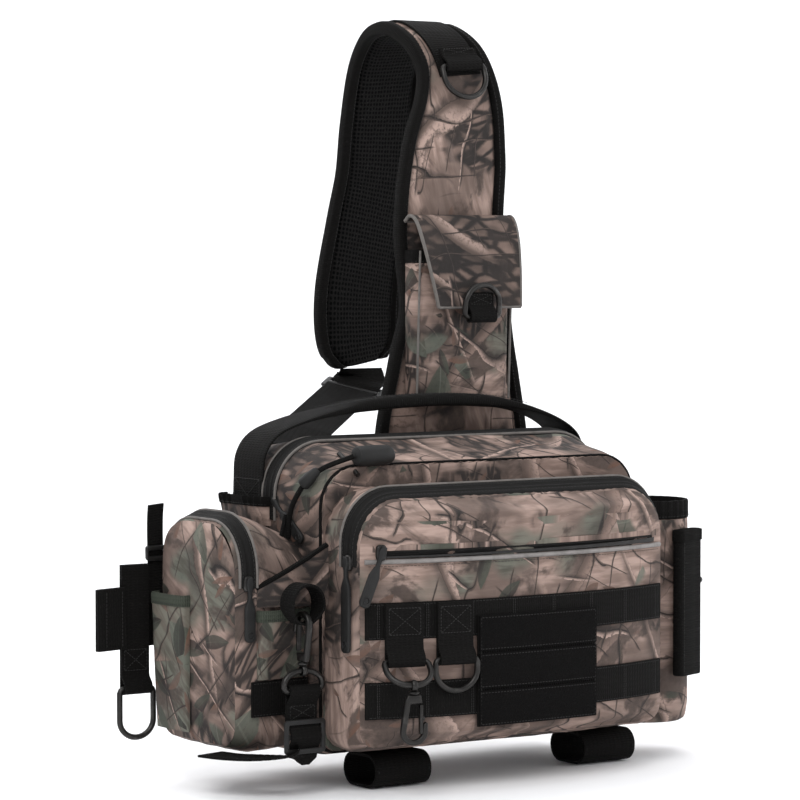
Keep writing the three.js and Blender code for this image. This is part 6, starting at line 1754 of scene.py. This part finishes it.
def make_stage():
    """Pale floor and backdrop, soft studio lights and the photograph's camera."""
    scene = bpy.context.scene
    look = scene.bag_studio
    floor = -27.2
    rows, maps = [], []
    profile = [(-2600, floor), (-400, floor), (900, floor)]
    profile += [(900 + math.sin(t) * 500, floor + 500 - math.cos(t) * 500)
                for t in np.linspace(0.1, math.pi / 2, 10)]
    profile += [(1400, 3200)]
    turn = math.radians(35)
    for back, up in profile:
        rows.append([(x * math.cos(turn) + back * math.sin(turn),
                      -x * math.sin(turn) + back * math.cos(turn), up)
                      for x in np.linspace(-3200, 3200, 9)])
        maps.append([(x, back) for x in np.linspace(-3200, 3200, 9)])
    shape = Shape()
    shape.grid(rows, maps)
    net = Net("studio_paper")
    grain = net.noise(net.coords("Object"), 60, 2.0)
    paper = net.finish(net.mix(grain, tuple(look.paper),
                               tuple(c * 0.985 for c in look.paper[:3]) + (1,)), 0.9)
    backdrop = shape.build("studio_floor", [paper])
    for name, spot, size, power in (
        ("key_light", (-1500, -1500, 1900), 1.5, look.key),
        ("fill_light", (1700, -1400, 900), 1.8, look.fill),
        ("top_light", (100, 300, 2300), 2.0, look.top), ("rear_light", (-900, 1500, 1500), 1.4, look.rear),
    ):
        lamp = bpy.data.lights.new(name, "AREA")
        lamp.shape = "DISK"
        lamp.size = size
        lamp.energy = power
        thing = bpy.data.objects.new(name, lamp)
        scene.collection.objects.link(thing)
        thing.location = place(*spot)
        aim = place(0, 0, 230) - thing.location
        thing.rotation_euler = aim.to_track_quat("-Z", "Y").to_euler()
    world = bpy.data.worlds.new("studio_air")
    world.use_nodes = True
    world.node_tree.nodes["Background"].inputs["Color"].default_value = (0.93, 0.95, 1.0, 1)
    world.node_tree.nodes["Background"].inputs["Strength"].default_value = look.air
    scene.world = world
    scene.view_settings.view_transform = "Standard"
    camera = bpy.data.cameras.new("photo_camera")
    camera.sensor_width = 36
    camera.lens = 157.5
    camera.clip_end = 30
    camera.dof.use_dof = False
    holder = bpy.data.objects.new("photo_camera", camera)
    scene.collection.objects.link(holder)
    holder.location = place(-1619.9, -2263.2, 386.8)
    lean = math.radians(2.5)
    forward = Vector((math.sin(turn) * math.cos(lean), math.cos(turn) * math.cos(lean), -math.sin(lean)))
    holder.rotation_euler = forward.to_track_quat("-Z", "Y").to_euler()
    scene.camera = holder


def shade(name, description, value):
    return bpy.props.FloatVectorProperty(name=name, description=description, subtype="COLOR", size=4,
                                         min=0, max=1, default=value)


def amount(name, description, value, high):
    return bpy.props.FloatProperty(name=name, description=description, default=value, min=0, max=high,
                                   subtype="FACTOR")


def power(name, description, value):
    return bpy.props.FloatProperty(name=name, description=description, default=value, min=0, unit="POWER")


class BagColours(bpy.types.PropertyGroup):
    """Colours of the print, webbing and trim, linear."""
    tan: shade("Ground", "Main tone of the printed cloth", (0.215, 0.150, 0.124, 1))
    pale: shade("Pale ground", "Lit streaks of the ground", (0.38, 0.275, 0.232, 1))
    brown: shade("Brown", "Twigs and middle tone", (0.098, 0.070, 0.058, 1))
    bark: shade("Bark", "Darkest tone of the print", (0.018, 0.0152, 0.0142, 1))
    leaf: shade("Leaf", "Shaded side of the leaves", (0.050, 0.057, 0.044, 1))
    sage: shade("Sage", "Lit side of the leaves", (0.125, 0.134, 0.108, 1))
    rust: shade("Rust", "Dry leaves", (0.135, 0.070, 0.048, 1))
    black: shade("Webbing", "Woven straps and bindings", (0.0048, 0.0044, 0.0040, 1))
    # painted shade of the weave's hollows, and the base tone of the loop pile
    pile_and_weave_shade: shade("Webbing shade", "Hollows between the ribs of the weave", (0.0022, 0.0020, 0.0019, 1))
    piping: shade("Piping", "Piping along the zips", (0.13, 0.118, 0.108, 1))
    grey: shade("Reflective", "Light piping under the slit", (0.22, 0.205, 0.195, 1))
    metal: shade("Metal", "Plated rings and hooks", (0.034, 0.0325, 0.031, 1))


class BagSizes(bpy.types.PropertyGroup):
    """How soft and how coarse the sewn detail is."""
    crease: amount("Fine creases", "Depth of the fine creases, 1 as shown", 1.0, 3.0)
    dent: amount("Broad dents", "Depth of the broad dents, 1 as shown", 1.0, 3.0)
    stitch: amount("Stitch size", "Thickness of the thread, 1 as shown", 1.0, 2.0)
    piping_radius: bpy.props.FloatProperty(name="Piping radius",
                                           description="Radius of the piping along the zips",
                                           default=0.00115, min=0.0004, max=0.003, precision=5,
                                           unit="LENGTH")


class BagStudio(bpy.types.PropertyGroup):
    """Lights and paper."""
    paper: shade("Paper", "Floor and backdrop", (0.97, 0.97, 0.975, 1))
    key: power("Key", "Large light at the left front", 40.0)
    fill: power("Fill", "Soft light at the right front", 18.0)
    top: power("Top", "Light over the bag", 22.0)
    rear: power("Rear", "Light behind the bag", 16.0)
    air: amount("Air", "Strength of the even light all round", 0.55, 2.0)


class BAG_OT_body(bpy.types.Operator):
    """Add the main compartment with its zip"""
    bl_idname = "bag.body"
    bl_label = "Main compartment"

    def execute(self, context):
        make_body()
        return {"FINISHED"}


class BAG_OT_pocket(bpy.types.Operator):
    """Add the front pocket, its webbing rows and loop panel"""
    bl_idname = "bag.pocket"
    bl_label = "Front pocket"

    def execute(self, context):
        make_pocket()
        return {"FINISHED"}


class BAG_OT_tabs(bpy.types.Operator):
    """Add the two tabs with their rings and the snap hook"""
    bl_idname = "bag.tabs"
    bl_label = "Tabs and hook"

    def execute(self, context):
        make_tabs()
        return {"FINISHED"}


class BAG_OT_pouch(bpy.types.Operator):
    """Add the side pouch with its slip pockets and ear"""
    bl_idname = "bag.pouch"
    bl_label = "Side pouch"

    def execute(self, context):
        make_pouch()
        return {"FINISHED"}


class BAG_OT_side(bpy.types.Operator):
    """Add the elastic pocket, the compression strap and the rear straps"""
    bl_idname = "bag.side"
    bl_label = "Side straps"

    def execute(self, context):
        make_side_pocket()
        make_side_chain()
        make_rear_straps()
        return {"FINISHED"}


class BAG_OT_bottle(bpy.types.Operator):
    """Add the bottle pocket and tool sheath"""
    bl_idname = "bag.bottle"
    bl_label = "Bottle pocket"

    def execute(self, context):
        make_bottle_pocket()
        return {"FINISHED"}


class BAG_OT_loops(bpy.types.Operator):
    """Add the belt loops and the carry handle"""
    bl_idname = "bag.loops"
    bl_label = "Belt loops and handle"

    def execute(self, context):
        make_belt_loops()
        make_handle()
        return {"FINISHED"}


class BAG_OT_strap(bpy.types.Operator):
    """Add the padded shoulder strap with its webbing"""
    bl_idname = "bag.strap"
    bl_label = "Shoulder strap"

    def execute(self, context):
        make_strap()
        return {"FINISHED"}


class BAG_OT_phone(bpy.types.Operator):
    """Add the phone pocket and its flap"""
    bl_idname = "bag.phone"
    bl_label = "Phone pocket"

    def execute(self, context):
        make_phone_pocket()
        return {"FINISHED"}


class BAG_OT_trim(bpy.types.Operator):
    """Add the zip pullers and the elastic cord with its toggle"""
    bl_idname = "bag.trim"
    bl_label = "Pullers and cord"

    def execute(self, context):
        make_pullers()
        make_cord()
        return {"FINISHED"}


class BAG_OT_stage(bpy.types.Operator):
    """Add the floor, lights and camera"""
    bl_idname = "bag.stage"
    bl_label = "Stage"

    def execute(self, context):
        make_stage()
        return {"FINISHED"}


class BAG_PT_panel(bpy.types.Panel):
    """Sidebar panel with the bag's sizes, colours and steps"""
    bl_label = "Tackle sling bag"
    bl_idname = "BAG_PT_panel"
    bl_space_type = "VIEW_3D"
    bl_region_type = "UI"
    bl_category = "Bag"

    def draw(self, context):
        for group in (context.scene.bag_colours, context.scene.bag_sizes, context.scene.bag_studio):
            box = self.layout.box()
            for key in group.bl_rna.properties.keys():
                if key not in ("rna_type", "name"):
                    box.prop(group, key)
        for step in STEPS:
            self.layout.operator(f"bag.{step}")


STEPS = ("body", "pocket", "tabs", "pouch", "side", "bottle", "loops", "strap", "phone", "trim", "stage")
CLASSES = (
    BagColours, BagSizes, BagStudio, BAG_OT_body, BAG_OT_pocket, BAG_OT_tabs, BAG_OT_pouch, BAG_OT_side,
    BAG_OT_bottle,
    BAG_OT_loops, BAG_OT_strap, BAG_OT_phone, BAG_OT_trim, BAG_OT_stage, BAG_PT_panel,
)


def register():
    for item in CLASSES:
        bpy.utils.register_class(item)
    bpy.types.Scene.bag_colours = bpy.props.PointerProperty(type=BagColours)
    bpy.types.Scene.bag_sizes = bpy.props.PointerProperty(type=BagSizes)
    bpy.types.Scene.bag_studio = bpy.props.PointerProperty(type=BagStudio)


def unregister():
    del bpy.types.Scene.bag_studio
    del bpy.types.Scene.bag_sizes
    del bpy.types.Scene.bag_colours
    for item in reversed(CLASSES):
        bpy.utils.unregister_class(item)


def main():
    register()
    for step in STEPS:
        getattr(bpy.ops.bag, step)()


if __name__ == "__main__":
    main()
